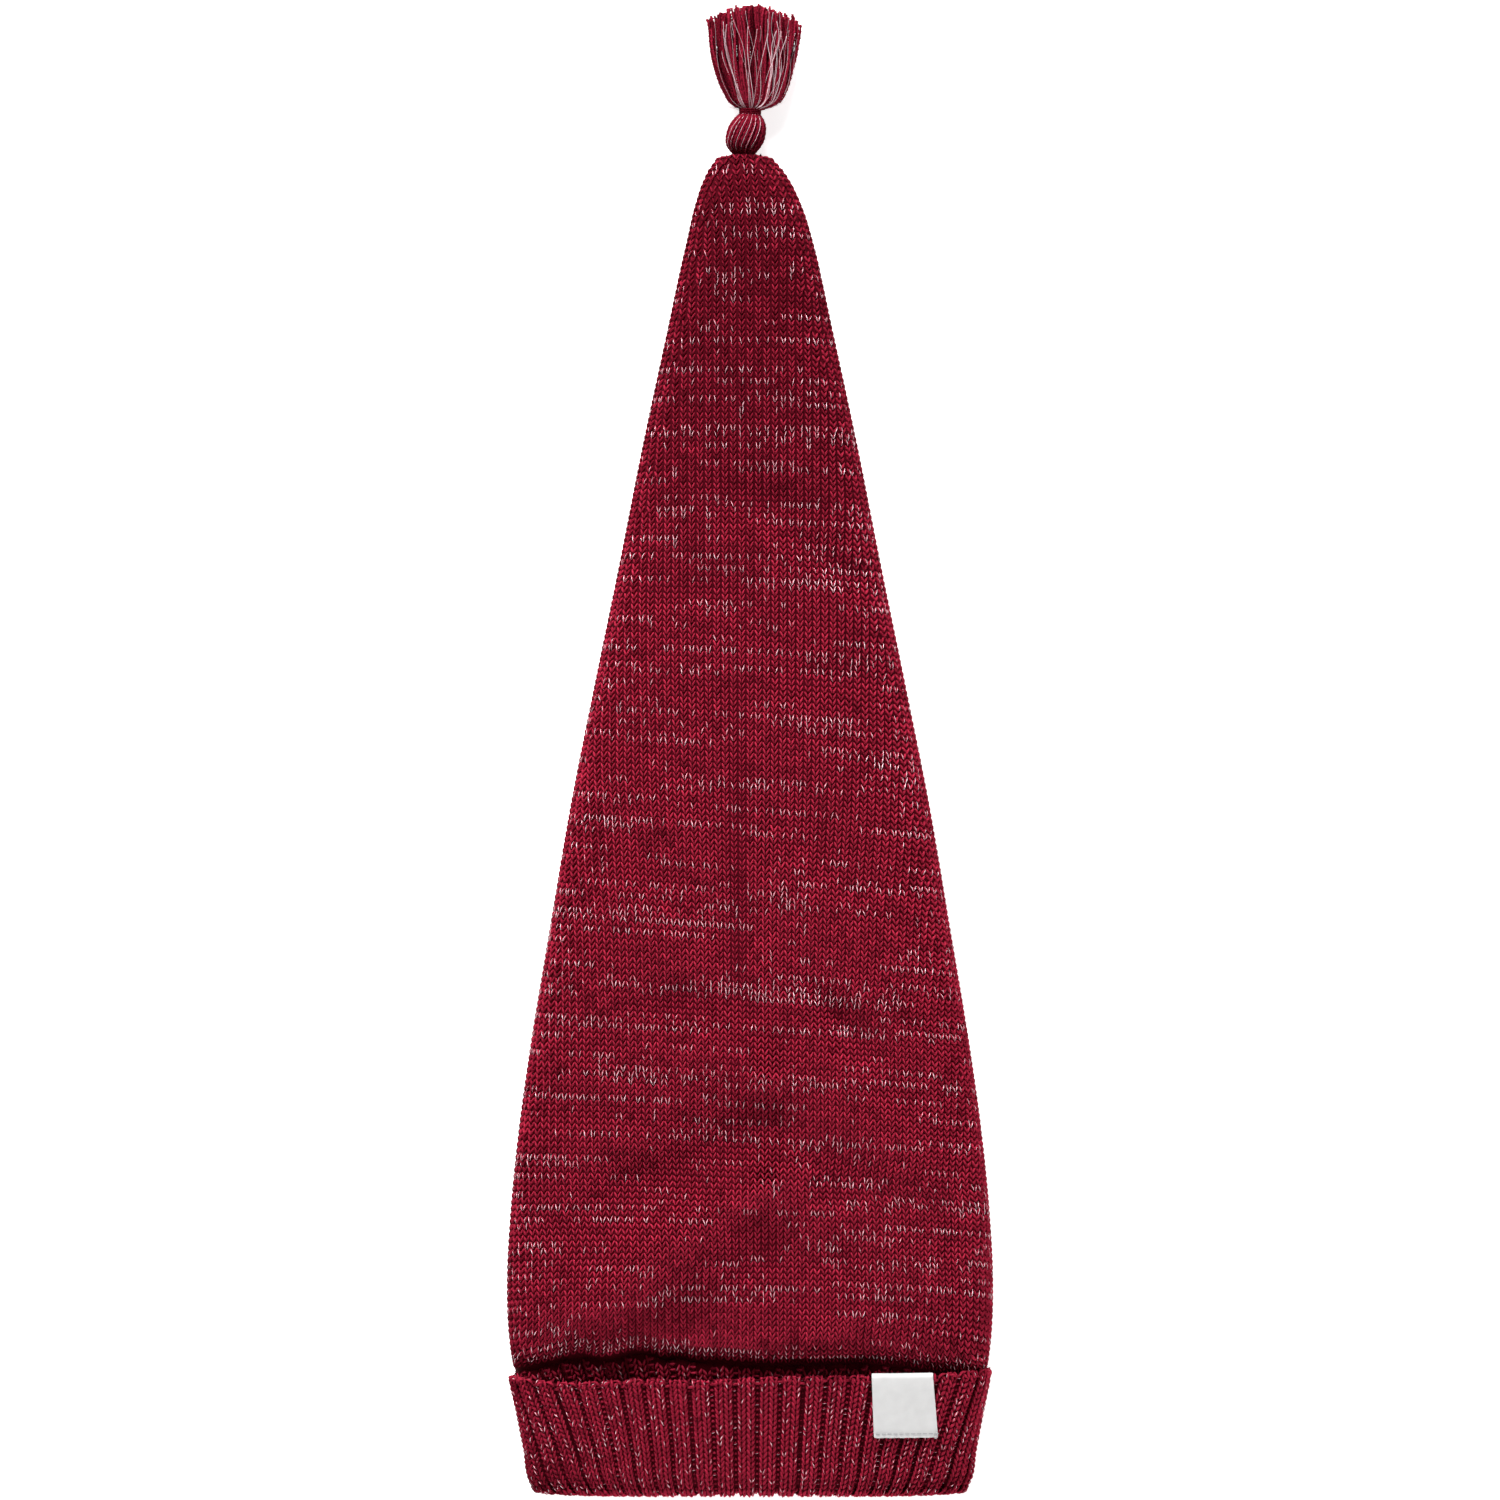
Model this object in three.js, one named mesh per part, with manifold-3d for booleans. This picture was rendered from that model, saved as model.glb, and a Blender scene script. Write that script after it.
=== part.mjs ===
// Long pointed knitted hat with a turned-up ribbed cuff, a yarn tassel at its tip and a folded tape label.
// It lies on its back on the floor (Z = 0) with the front facing +Z, the mouth at -Y and the tip at +Y.
// All sizes are in millimetres. "Along" is the distance from the folded lower edge of the cuff to the tip.
import {
  Box3,
  BufferGeometry,
  CubicInterpolant,
  Curve,
  Float32BufferAttribute,
  Group,
  Mesh,
  MeshStandardMaterial,
  Vector3,
} from "three";
import { mergeVertices } from "three/addons/utils/BufferGeometryUtils.js";
import Module from "manifold-3d";

// Driving dimensions
const GAP = 0.3; // kept between neighbouring pieces
const RIM_GAP = 0.8; // between the crown's rim and the cuff, along the wavy crease
const KNIT_WALL = 2.2; // plain knitting of the crown
const RIB_WALL = 2.6; // ribbed knitting of the cuff
const RIB_DEPTH = 1.2; // furrow between two ribs
const RIBS = 46; // ribs round the cuff
const RIB_STITCHES = 3; // two raised stitches and one sunk stitch in each rib
const CUFF_HEIGHT = 51; // folded edge to free edge
const MOUTH_BOW = 3.2; // the folded edge runs higher at the sides than in the middle
const JOIN = 56.5; // where the crown meets the cuff's inner layer, just above the free edge
const CROWN_END = 564; // end of the gathered tip
const CROWN_COLUMNS = 48;
// Sections of the crown between its rim and its tip, closer together at the cuff, the folds and the tip
const CROWN_STATIONS = [
  60, 64, 70, 80, 94, 108, 122, 136, 150, 166, 190, 240, 320, 400, 480, 525, 545, 555, 561,
];
const UPPER_ROUNDNESS = 2.3; // exponent of the upper half of a section, 2 being an ellipse
const LOWER_ROUNDNESS = 3; // the underside is squarer
const FLOOR_PRESS = 1.12; // how far the underside is pressed flat
const WAIST = 0.4; // height of the widest line, as a share of a section's height

// The knitted tube's outer surface: cuff's inner layer below JOIN, crown above it
const BODY = [
  { along: 0, width: 173, top: 27.0, lift: 3.3 },
  { along: 6, width: 177, top: 28.5, lift: 3.3 },
  { along: 20, width: 182.5, top: 30.0, lift: 3.2 },
  { along: 36, width: 189.5, top: 31.0, lift: 3.2 },
  { along: 46, width: 192, top: 31.2, lift: 3.2 },
  { along: 54, width: 192.6, top: 31.2, lift: 3.2 },
  { along: 57.5, width: 193.8, top: 33.0, lift: 2.8 },
  { along: 60, width: 196, top: 37.5, lift: 2.2 },
  { along: 63.5, width: 199, top: 42.8, lift: 1.4 },
  { along: 69, width: 202, top: 46.4, lift: 0.6 },
  { along: 77, width: 203.4, top: 47.8, lift: 0.1 },
  { along: 92, width: 203.8, top: 48.3, lift: 0 },
  { along: 121, width: 200.8, top: 48.0, lift: 0 },
  { along: 155, width: 194, top: 47.0, lift: 0 },
  { along: 188, width: 184.8, top: 45.5, lift: 0 },
  { along: 239, width: 168, top: 43.0, lift: 0 },
  { along: 290, width: 150.8, top: 40.5, lift: 0 },
  { along: 340, width: 131, top: 38.0, lift: 0 },
  { along: 390, width: 110.5, top: 35.5, lift: 0 },
  { along: 441, width: 90.4, top: 32.5, lift: 0 },
  { along: 491, width: 69, top: 29.0, lift: 0 },
  { along: 525, width: 54.2, top: 26.0, lift: 0 },
  { along: 542, width: 45, top: 23.5, lift: 0.4 },
  { along: 552, width: 37, top: 21.0, lift: 1.0 },
  { along: 558.5, width: 29, top: 18.0, lift: 1.5 },
  { along: 562.4, width: 21, top: 15.8, lift: 2.0 },
  { along: 564, width: 11.6, top: 14.0, lift: 2.4 },
];

// The turned-up layer's outer surface, over the crests of its ribs
const TURNED = [
  { along: 1.2, width: 180, top: 31.0, lift: 0.8 },
  { along: 5, width: 184.4, top: 33.8, lift: 0 },
  { along: 20, width: 190.2, top: 37.6, lift: 0 },
  { along: 36, width: 196.6, top: 40.6, lift: 0 },
  { along: 47, width: 201.4, top: 42.4, lift: 0 },
  { along: 51, width: 202.6, top: 42.8, lift: 0.2 },
];

// Soft hollows (positive depth) and ridges (negative depth) in the crown's front, turned by "turn" degrees
const DENTS = [
  { name: "diagonal_fold", across: -32, along: 137, reachAcross: 48, reachAlong: 14, turn: 20, depth: 5.0 },
  { name: "hollow_at_cuff", across: -28, along: 70, reachAcross: 16, reachAlong: 15, turn: 0, depth: 4.5 },
  { name: "right_hollow", across: 84, along: 132, reachAcross: 7, reachAlong: 30, turn: 0, depth: 2.6 },
  { name: "right_crease", across: 35, along: 204, reachAcross: 26, reachAlong: 8, turn: -47, depth: 2.2 },
  { name: "left_crease", across: -30, along: 380, reachAcross: 22, reachAlong: 9, turn: 0, depth: 1.8 },
  { name: "middle_ridge", across: 7, along: 240, reachAcross: 9, reachAlong: 120, turn: 0, depth: -1.6 },
];

// Wavy line where the crown swells out over the cuff, in lobes
const CREASE = [
  { across: -97, along: 57.0 },
  { across: -82, along: 60.6 },
  { across: -71, along: 61.8 },
  { across: -62, along: 59.2 },
  { across: -46, along: 62.6 },
  { across: -28, along: 58.8 },
  { across: -10, along: 58.5 },
  { across: 4, along: 57.4 },
  { across: 28, along: 57.9 },
  { across: 42, along: 60.4 },
  { across: 70, along: 60.2 },
  { across: 80, along: 58.8 },
  { across: 97, along: 56.0 },
];
const CREASE_RISE = 3.5; // from the join to that line, where the swell starts
const CREASE_FADE = 16;

// Line of the cuff's free edge
const FREE_EDGE = [
  { across: -98, along: 51.2 },
  { across: -84, along: 49.6 },
  { across: -43, along: 50.9 },
  { across: -20, along: 50.4 },
  { across: 0, along: 51.6 },
  { across: 30, along: 52.4 },
  { across: 70, along: 52.5 },
  { across: 98, along: 54.4 },
];

// Gathers drawn in round the tassel's stem
const GATHERS = { count: 12, depth: 0.9, fade: 9 };

// Label of folded tape over the cuff's free edge
const LABEL = { across: 65, width: 27, taper: 0.6, slant: 1.6, front: 26.5, back: 22, thickness: 0.8 };
const LABEL_COLUMNS = 6;

// Tassel, measured along its own axis from the crown's tip
const TASSEL_HEIGHT = 8.2; // of the tassel's axis above the floor
const STEM = { radius: 2.2, depth: 10, knotRadius: 4.2 };
const BALL = [
  { along: 0, radius: 4.6 },
  { along: 1.6, radius: 6.2 },
  { along: 4.4, radius: 7.8 },
  { along: 8.2, radius: 8.2 },
  { along: 12, radius: 7.4 },
  { along: 14.8, radius: 5.8 },
  { along: 16.2, radius: 4.9 },
  { along: 22, radius: 4.9 },
];
const BALL_YARNS = 14; // lobes round the ball
const BALL_YARN_DEPTH = 0.35;
const NECK = { along: 17.8, half: 1.9, radius: 4.9 };
const TIE = { turns: 3, yarn: 1.1, segments: 20 };
const SKIRT = { length: 43.4, lean: 4, width: 36, height: 12.5, rootWidth: 9, rootHeight: 9, spread: 0.45 };
const LOCKS = [
  { name: "outer", count: 15, out: 1.0, radius: 2.7, reach: 0.95, step: 0.0 },
  { name: "inner", count: 6, out: 0.48, radius: 3.1, reach: 1.0, step: 0.5 },
];
const CORE_SHARE = 0.88; // the skirt's filled middle, inside the outer locks
const CORE_SIDES = 12;
const LOCK_SIDES = 6;
const LOCK_SHAPE = [
  { run: 0, size: 0.75 },
  { run: 0.08, size: 0.9 },
  { run: 0.26, size: 1 },
  { run: 0.55, size: 1 },
  { run: 0.85, size: 0.95 },
  { run: 1, size: 0.6 },
];

// Colours
const DEEP_RED = 0x76182a;
const SHADE_RED = 0x6b1c2c;
const WHITE_TAPE = 0xcac9c8;

// Smooth reading of a table at any place on its first column
function reader(table, columns, key = "along") {
  const places = table.map((row) => row[key]);
  const values = table.flatMap((row) => columns.map((column) => row[column]));
  const curve = new CubicInterpolant(places, values, columns.length);
  return (place) => {
    const read = curve.evaluate(place);
    return Object.fromEntries(columns.map((column, index) => [column, read[index]]));
  };
}

const bodyAt = reader(BODY, ["width", "top", "lift"]);
const turnedAt = reader(TURNED, ["width", "top", "lift"]);
const creaseAt = reader(CREASE, ["along"], "across");
const freeEdgeAt = reader(FREE_EDGE, ["along"], "across");
const radians = (degrees) => (degrees * Math.PI) / 180;
const power = (value, exponent) => Math.sign(value) * Math.abs(value) ** exponent;

// Section of a lying tube, from the middle of its underside round by +X, drawn in by "inset" on all sides
class LyingSection extends Curve {
  constructor(section, inset) {
    super();
    this.half = section.width / 2 - inset;
    this.top = section.top - inset;
    this.low = Math.max(0, section.lift) + inset;
    this.waist = section.lift + (section.top - section.lift) * WAIST;
    this.arcLengthDivisions = 480;
  }

  getPoint(share, target = new Vector3()) {
    const angle = 2 * Math.PI * share - Math.PI / 2;
    const cosine = Math.cos(angle);
    const sine = Math.sin(angle);
    const roundness = sine > 0 ? UPPER_ROUNDNESS : LOWER_ROUNDNESS;
    const rise = Math.abs(sine) ** (2 / roundness);
    const pressed = Math.min(1, rise * FLOOR_PRESS);
    const height = sine > 0 ? (this.top - this.waist) * rise : (this.low - this.waist) * pressed;
    return target.set(this.half * power(cosine, 2 / roundness), 0, this.waist + height);
  }
}

// Height of a section's upper surface at a place across it
function upperHeight(section, across) {
  const waist = section.lift + (section.top - section.lift) * WAIST;
  const share = Math.min(1, Math.abs(across) / (section.width / 2));
  return waist + (section.top - waist) * (1 - share ** UPPER_ROUNDNESS) ** (1 / UPPER_ROUNDNESS);
}

// Ring of evenly spaced points round a section
function ring(section, inset, along, columns) {
  const points = new LyingSection(section, inset).getSpacedPoints(columns).slice(0, columns);
  points.forEach((point) => point.setY(along));
  return points;
}

// Closed sleeve through a loop of rings, with its faces outwards
function sleeve(rings) {
  const columns = rings[0].length;
  const positions = rings.flat().flatMap((point) => [point.x, point.y, point.z]);
  const faces = [];
  rings.forEach((_, row) => {
    const next = (row + 1) % rings.length;
    for (let column = 0; column < columns; column += 1) {
      const beside = (column + 1) % columns;
      const here = row * columns + column;
      const right = row * columns + beside;
      const ahead = next * columns + column;
      const across = next * columns + beside;
      faces.push(here, ahead, right, ahead, across, right);
    }
  });
  return geometryFrom(positions, faces);
}

// Closed bar through an open row of rings, with a fan over each end
function bar(rings) {
  const columns = rings[0].length;
  const points = rings.flat();
  const faces = [];
  for (let row = 0; row + 1 < rings.length; row += 1) {
    for (let column = 0; column < columns; column += 1) {
      const beside = (column + 1) % columns;
      const here = row * columns + column;
      const right = row * columns + beside;
      faces.push(here, here + columns, right, here + columns, right + columns, right);
    }
  }
  const first = points.length;
  const last = first + 1;
  points.push(middle(rings[0]), middle(rings[rings.length - 1]));
  const lastRow = (rings.length - 1) * columns;
  for (let column = 0; column < columns; column += 1) {
    const beside = (column + 1) % columns;
    faces.push(first, column, beside, last, lastRow + beside, lastRow + column);
  }
  return geometryFrom(points.flatMap((point) => [point.x, point.y, point.z]), faces);
}

function middle(points) {
  return points.reduce((sum, point) => sum.add(point), new Vector3()).divideScalar(points.length);
}

function geometryFrom(positions, faces) {
  const geometry = new BufferGeometry();
  geometry.setAttribute("position", new Float32BufferAttribute(positions, 3));
  geometry.setIndex(faces);
  return geometry;
}

// Depth of the crown's hollows at a place on its front
function dentDepth(across, along) {
  return DENTS.reduce((sum, dent) => {
    const turn = radians(dent.turn);
    const dx = across - dent.across;
    const dy = along - dent.along;
    const u = (dx * Math.cos(turn) + dy * Math.sin(turn)) / dent.reachAcross;
    const v = (dy * Math.cos(turn) - dx * Math.sin(turn)) / dent.reachAlong;
    return sum + dent.depth * Math.exp(-(u * u) - v * v);
  }, 0);
}

// How far the wavy crease moves a place on the front along the hat
function creaseShift(across, along) {
  const fade = Math.exp(-(((along - JOIN) / CREASE_FADE) ** 2));
  return (creaseAt(across).along - JOIN - CREASE_RISE) * fade;
}

// How far the free edge's line moves a place on the turned-up layer's front along the hat
function freeEdgeShift(across, along) {
  return (freeEdgeAt(across).along - CUFF_HEIGHT) * (along / CUFF_HEIGHT) ** 2;
}

// 1 on the front of a section, fading to 0 from its widest line to the floor
function frontShare(section, height) {
  const waist = section.lift + (section.top - section.lift) * WAIST;
  return Math.min(1, Math.max(0, height / waist));
}

// Crown ring with its hollows, its wavy crease over the cuff and its gathers
function crownRing(along, inset) {
  const section = bodyAt(along);
  const points = ring(section, inset, along, CROWN_COLUMNS);
  const waist = section.lift + (section.top - section.lift) * WAIST;
  const centre = (section.top + section.lift) / 2;
  const pinch = GATHERS.depth * Math.exp(-(((CROWN_END - along) / GATHERS.fade) ** 2));
  points.forEach((point, column) => {
    const share = column / CROWN_COLUMNS;
    const upper = Math.max(0, point.z - waist) / (section.top - waist);
    point.y += creaseShift(point.x, along) * frontShare(section, point.z);
    point.z -= upper * dentDepth(point.x, along);
    const gather = (Math.cos(2 * Math.PI * GATHERS.count * share) - 1) / 2;
    const radius = Math.hypot(point.x, point.z - centre);
    const drawn = 1 + (pinch * gather) / radius;
    point.x *= drawn;
    point.z = centre + (point.z - centre) * drawn;
  });
  return points;
}

function crownGeometry() {
  const stations = [JOIN + RIM_GAP / 2, ...CROWN_STATIONS, CROWN_END];
  const outside = stations.map((along) => crownRing(along, 0));
  const inside = stations.map((along) => crownRing(along, KNIT_WALL)).reverse();
  return sleeve([...outside, ...inside]);
}

// How far the folded edge's bow moves a place on the cuff, "side" being 1 at its edge
function bowAt(along, side) {
  return MOUTH_BOW * Math.max(0, 1 - along / (JOIN - GAP)) * side * side;
}

// Cuff ring with sunk stitches between its ribs ("furrow" being their inset), bowed towards the folded edge
function cuffRing({ along, layer, inset, furrow = 0 }) {
  const columns = RIBS * RIB_STITCHES;
  const turned = layer === "turned";
  const section = turned ? turnedAt(along) : bodyAt(along);
  const crests = ring(section, inset, along, columns);
  const furrows = ring(section, inset + furrow, along, columns);
  return crests.map((crest, column) => {
    const sunk = column % RIB_STITCHES === RIB_STITCHES - 1;
    const point = sunk ? furrows[column] : crest;
    const shift = turned ? freeEdgeShift(point.x, along) : creaseShift(point.x, along);
    point.y += shift * frontShare(section, point.z) + bowAt(along, (2 * point.x) / section.width);
    return point;
  });
}

function cuffGeometry() {
  const free = CUFF_HEIGHT;
  const profile = [
    { along: 2.2, layer: "turned", inset: 0.2, furrow: RIB_DEPTH },
    { along: 8, layer: "turned", inset: 0, furrow: RIB_DEPTH },
    { along: 22, layer: "turned", inset: 0, furrow: RIB_DEPTH },
    { along: 37, layer: "turned", inset: 0, furrow: RIB_DEPTH },
    { along: free - 1, layer: "turned", inset: 0, furrow: RIB_DEPTH },
    { along: free, layer: "turned", inset: RIB_WALL * 0.5 },
    { along: free - 1, layer: "turned", inset: RIB_WALL },
    { along: 30, layer: "turned", inset: RIB_WALL },
    { along: 5, layer: "turned", inset: RIB_WALL },
    { along: 6, layer: "body", inset: 0 },
    { along: 28, layer: "body", inset: 0 },
    { along: 48, layer: "body", inset: 0, furrow: RIB_DEPTH },
    { along: JOIN - RIM_GAP / 2, layer: "body", inset: 0, furrow: RIB_DEPTH },
    { along: JOIN - RIM_GAP / 2, layer: "body", inset: RIB_WALL },
    { along: 30, layer: "body", inset: RIB_WALL, furrow: -RIB_DEPTH },
    { along: 5, layer: "body", inset: RIB_WALL, furrow: -RIB_DEPTH },
    { along: 0.8, layer: "body", inset: RIB_WALL * 0.55, furrow: -RIB_DEPTH },
  ];
  return sleeve(profile.map(cuffRing));
}

// Profile of the folded label at one place across it: up its outer face, and back by its inner face
function labelProfile(share) {
  const half = LABEL.width / 2;
  const reach = GAP + LABEL.thickness;
  const bend = RIB_WALL / 2;
  const face = (along, inset, lift) => {
    const drop = (CUFF_HEIGHT - along) / LABEL.front;
    const across = LABEL.across + LABEL.slant * drop + share * (half - LABEL.taper * (1 - drop));
    const height = upperHeight(turnedAt(along), across) - inset + lift;
    const bow = bowAt(along, (2 * across) / turnedAt(along).width);
    return new Vector3(across, along + bow + freeEdgeShift(across, along), height);
  };
  const top = CUFF_HEIGHT - 1;
  const bottom = CUFF_HEIGHT - LABEL.front;
  const end = CUFF_HEIGHT - LABEL.back;
  const frontSteps = [0, 0.35, 0.7, 1].map((step) => bottom + (top - bottom) * step);
  const backSteps = [0, 0.5, 1].map((step) => top + (end - top) * step);
  const fold = (radius) =>
    [60, 20, -20, -60].map((angle) => {
      const point = face(top, bend, 0);
      point.y += radius * Math.cos(radians(angle));
      point.z += radius * Math.sin(radians(angle));
      return point;
    });
  const outer = [
    ...frontSteps.map((along) => face(along, 0, reach)),
    ...fold(bend + reach),
    ...backSteps.map((along) => face(along, RIB_WALL, -reach)),
  ];
  const inner = [
    ...frontSteps.map((along) => face(along, 0, GAP)),
    ...fold(bend + GAP),
    ...backSteps.map((along) => face(along, RIB_WALL, -GAP)),
  ];
  return [...outer, ...inner.reverse()];
}

// The label is wider than deep, so its ends are closed strip by strip
function labelGeometry() {
  const columns = LABEL_COLUMNS;
  const steps = Array.from({ length: columns + 1 }, (_, column) => (2 * column) / columns - 1);
  const profiles = steps.map(labelProfile);
  const count = profiles[0].length;
  const faces = [];
  for (let column = 0; column < columns; column += 1) {
    for (let index = 0; index < count; index += 1) {
      const here = column * count + index;
      const next = column * count + ((index + 1) % count);
      faces.push(here, here + count, next, here + count, next + count, next);
    }
  }
  const far = columns * count;
  for (let index = 0; index + 1 < count / 2; index += 1) {
    const opposite = count - 1 - index;
    faces.push(index, index + 1, opposite, index + 1, opposite - 1, opposite);
    faces.push(far + index, far + opposite, far + index + 1);
    faces.push(far + index + 1, far + opposite, far + opposite - 1);
  }
  return geometryFrom(profiles.flat().flatMap((point) => [point.x, point.y, point.z]), faces);
}

// Round ring about the tassel's axis
function axisRing(along, radius, segments, lobes = 0, depth = 0) {
  return Array.from({ length: segments }, (_, index) => {
    const angle = (2 * Math.PI * index) / segments;
    const swell = radius + depth * (Math.cos(lobes * angle) - 1);
    return new Vector3(swell * Math.cos(angle), along, swell * Math.sin(angle));
  });
}

function ballGeometry() {
  const segments = BALL_YARNS * 2;
  const rings = BALL.map(({ along, radius }) => {
    const full = radius > 5.5 ? BALL_YARN_DEPTH : 0;
    return axisRing(along, radius, segments, BALL_YARNS, full);
  });
  return bar(rings);
}

// Stem through the gathered tip, with the knot that holds it inside
function stemGeometry() {
  const knot = [-70, -40, 0, 40].map((angle) => ({
    along: -STEM.depth + STEM.knotRadius * Math.sin(radians(angle)),
    radius: STEM.knotRadius * Math.cos(radians(angle)),
  }));
  const post = [-STEM.depth + 3.8, 1].map((along) => ({ along, radius: STEM.radius }));
  return bar([...knot, ...post].map(({ along, radius }) => axisRing(along, radius, 12)));
}

// Half width and half height of the skirt at a share of its length
function skirtSize(run) {
  const open = run ** SKIRT.spread;
  const wide = (SKIRT.rootWidth / 2) * (1 - open) + (SKIRT.width / 2) * open;
  const high = (SKIRT.rootHeight / 2) * (1 - run) + (SKIRT.height / 2) * run;
  return { wide, high };
}

// Centre line of a lock: out of the neck, spread quickly, then straight to its cut end
function lockPath(share, out, reach) {
  const angle = 2 * Math.PI * share;
  const lean = Math.tan(radians(SKIRT.lean));
  return LOCK_SHAPE.map(({ run }) => {
    const { wide, high } = skirtSize(run);
    const along = run * SKIRT.length * reach * (1 - 0.1 * out * Math.cos(angle) ** 2);
    const x = out * Math.cos(angle) * wide * (run === 0 ? 0.6 : 1) + along * lean;
    const z = out * Math.sin(angle) * high * (run === 0 ? 0.6 : 1);
    return new Vector3(x, NECK.along + NECK.half + along, z);
  });
}

function lockGeometry(path, radius) {
  const rings = path.map((centre, index) =>
    Array.from({ length: LOCK_SIDES }, (_, side) => {
      const angle = (2 * Math.PI * side) / LOCK_SIDES;
      const size = radius * LOCK_SHAPE[index].size;
      return new Vector3(centre.x + size * Math.cos(angle), centre.y, centre.z + size * Math.sin(angle));
    }),
  );
  return bar(rings);
}

// Filled middle of the skirt
function skirtCore() {
  const path = lockPath(0, 0, 0.93);
  const rings = path.map((centre, index) => {
    const { wide, high } = skirtSize(LOCK_SHAPE[index].run);
    return Array.from({ length: CORE_SIDES }, (_, side) => {
      const angle = (2 * Math.PI * side) / CORE_SIDES;
      const x = centre.x + CORE_SHARE * wide * Math.cos(angle);
      return new Vector3(x, centre.y, centre.z + CORE_SHARE * high * Math.sin(angle));
    });
  });
  return bar(rings);
}

// Joined solids as one body
const wasm = await Module();
wasm.setup();

function solid(geometry) {
  const bare = geometry.clone();
  bare.deleteAttribute("normal");
  bare.deleteAttribute("uv");
  const merged = mergeVertices(bare, 1e-4);
  const mesh = new wasm.Mesh({
    numProp: 3,
    vertProperties: new Float32Array(merged.attributes.position.array),
    triVerts: new Uint32Array(merged.index.array),
  });
  return new wasm.Manifold(mesh);
}

function tasselGeometry() {
  let body = solid(stemGeometry()).add(solid(ballGeometry())).add(solid(skirtCore()));
  LOCKS.forEach(({ count, out, radius, reach, step }) => {
    for (let index = 0; index < count; index += 1) {
      const uneven = 1 + 0.02 * Math.sin(2.4 * index + 5 * step);
      const path = lockPath((index + step) / count, out, reach * uneven);
      body = body.add(solid(lockGeometry(path, radius)));
    }
  });
  const mesh = body.getMesh();
  return geometryFrom(Array.from(mesh.vertProperties), Array.from(mesh.triVerts));
}

// Wound yarn round the neck: a closed outline with one bulge for each turn, swept about the axis
function tieGeometry() {
  const inner = NECK.radius + GAP;
  const half = TIE.yarn / 2;
  const start = NECK.along - TIE.turns * half;
  const outline = [{ along: start, radius: inner }];
  for (let turn = 0; turn < TIE.turns; turn += 1) {
    const at = start + TIE.yarn * turn;
    outline.push({ along: at + half * 0.35, radius: inner + half * 1.5 });
    outline.push({ along: at + half, radius: inner + TIE.yarn });
    outline.push({ along: at + half * 1.65, radius: inner + half * 1.5 });
  }
  outline.push({ along: start + TIE.yarn * TIE.turns, radius: inner });
  const rings = outline.map(({ along, radius }) => axisRing(along, radius, TIE.segments));
  return sleeve(rings);
}

// Assembly
const hat = new Group();
hat.name = "santa_hat";

function addPiece(name, geometry, color, roughness) {
  const material = new MeshStandardMaterial({ color, roughness, metalness: 0 });
  const piece = new Mesh(geometry, material);
  piece.name = name;
  hat.add(piece);
  return piece;
}

addPiece("crown", crownGeometry(), DEEP_RED, 0.9);
addPiece("cuff", cuffGeometry(), DEEP_RED, 0.9);
addPiece("label", labelGeometry(), WHITE_TAPE, 0.6);
const tassel = addPiece("tassel", tasselGeometry(), SHADE_RED, 0.9);
const tie = addPiece("tassel_tie", tieGeometry(), SHADE_RED, 0.9);
[tassel, tie].forEach((piece) => {
  piece.geometry.translate(0, CROWN_END + GAP, TASSEL_HEIGHT);
});

// The floor is at Z = 0 and the middle of the footprint at X = Y = 0
const box = new Box3().setFromObject(hat);
const footprint = box.getCenter(new Vector3());
hat.children.forEach((piece) => piece.geometry.translate(-footprint.x, -footprint.y, -box.min.z));

export default hat;
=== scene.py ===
"""Finish of a long knitted hat that lies on its back: stitches, ribs, silver flecks, label and tassel."""

import math

import bpy
import numpy as np
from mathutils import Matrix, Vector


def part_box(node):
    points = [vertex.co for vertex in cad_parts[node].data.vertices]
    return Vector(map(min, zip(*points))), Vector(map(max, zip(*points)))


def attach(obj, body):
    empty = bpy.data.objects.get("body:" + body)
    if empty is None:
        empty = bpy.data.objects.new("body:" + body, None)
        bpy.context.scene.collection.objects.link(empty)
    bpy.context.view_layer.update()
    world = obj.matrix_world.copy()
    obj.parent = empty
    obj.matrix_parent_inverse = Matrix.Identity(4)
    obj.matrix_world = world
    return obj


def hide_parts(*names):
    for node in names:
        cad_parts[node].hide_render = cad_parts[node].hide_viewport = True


bl_info = {
    "name": "Knitted hat",
    "version": (1, 0, 0),
    "blender": (4, 5, 0),
    "location": "3D View > Sidebar > Knitted hat",
    "description": "Dresses the solids of a long knitted hat with stitches, ribs, a label and a tassel",
    "category": "Object",
}

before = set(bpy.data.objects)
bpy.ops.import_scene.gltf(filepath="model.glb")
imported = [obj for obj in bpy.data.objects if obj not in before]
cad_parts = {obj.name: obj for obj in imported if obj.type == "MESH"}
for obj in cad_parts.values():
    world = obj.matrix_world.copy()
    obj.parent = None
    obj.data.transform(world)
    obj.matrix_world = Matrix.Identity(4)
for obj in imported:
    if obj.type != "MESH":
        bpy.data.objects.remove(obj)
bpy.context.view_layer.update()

# Sizes in millimetres. "Along" runs from the cuff's folded edge to the tip.
MM = 0.001
# Gaps between pieces and at the crown's rim, and thickness of the crown's and the cuff's walls
GAP = 0.3
RIM_GAP = 0.8
KNIT_WALL = 2.2
RIB_WALL = 2.6
# Ribs round the cuff, and stitches in each
RIBS = 46
RIB_STITCHES = 3
# Depth and half width (in stitches) of the furrows between the ribs
FURROW, FURROW_HALF = 1.8, 0.34
# How deep the crown's stitches and the cuff's raised stitches, its wall and its sunk stitches are bedded
STITCH_BED, RIB_BED, PURL_BED = 0.95, 0.85, 0.8
# Share of the round by which the ribs near both sides draw in towards the folded edge
RIB_DRAW = 0.02
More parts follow.
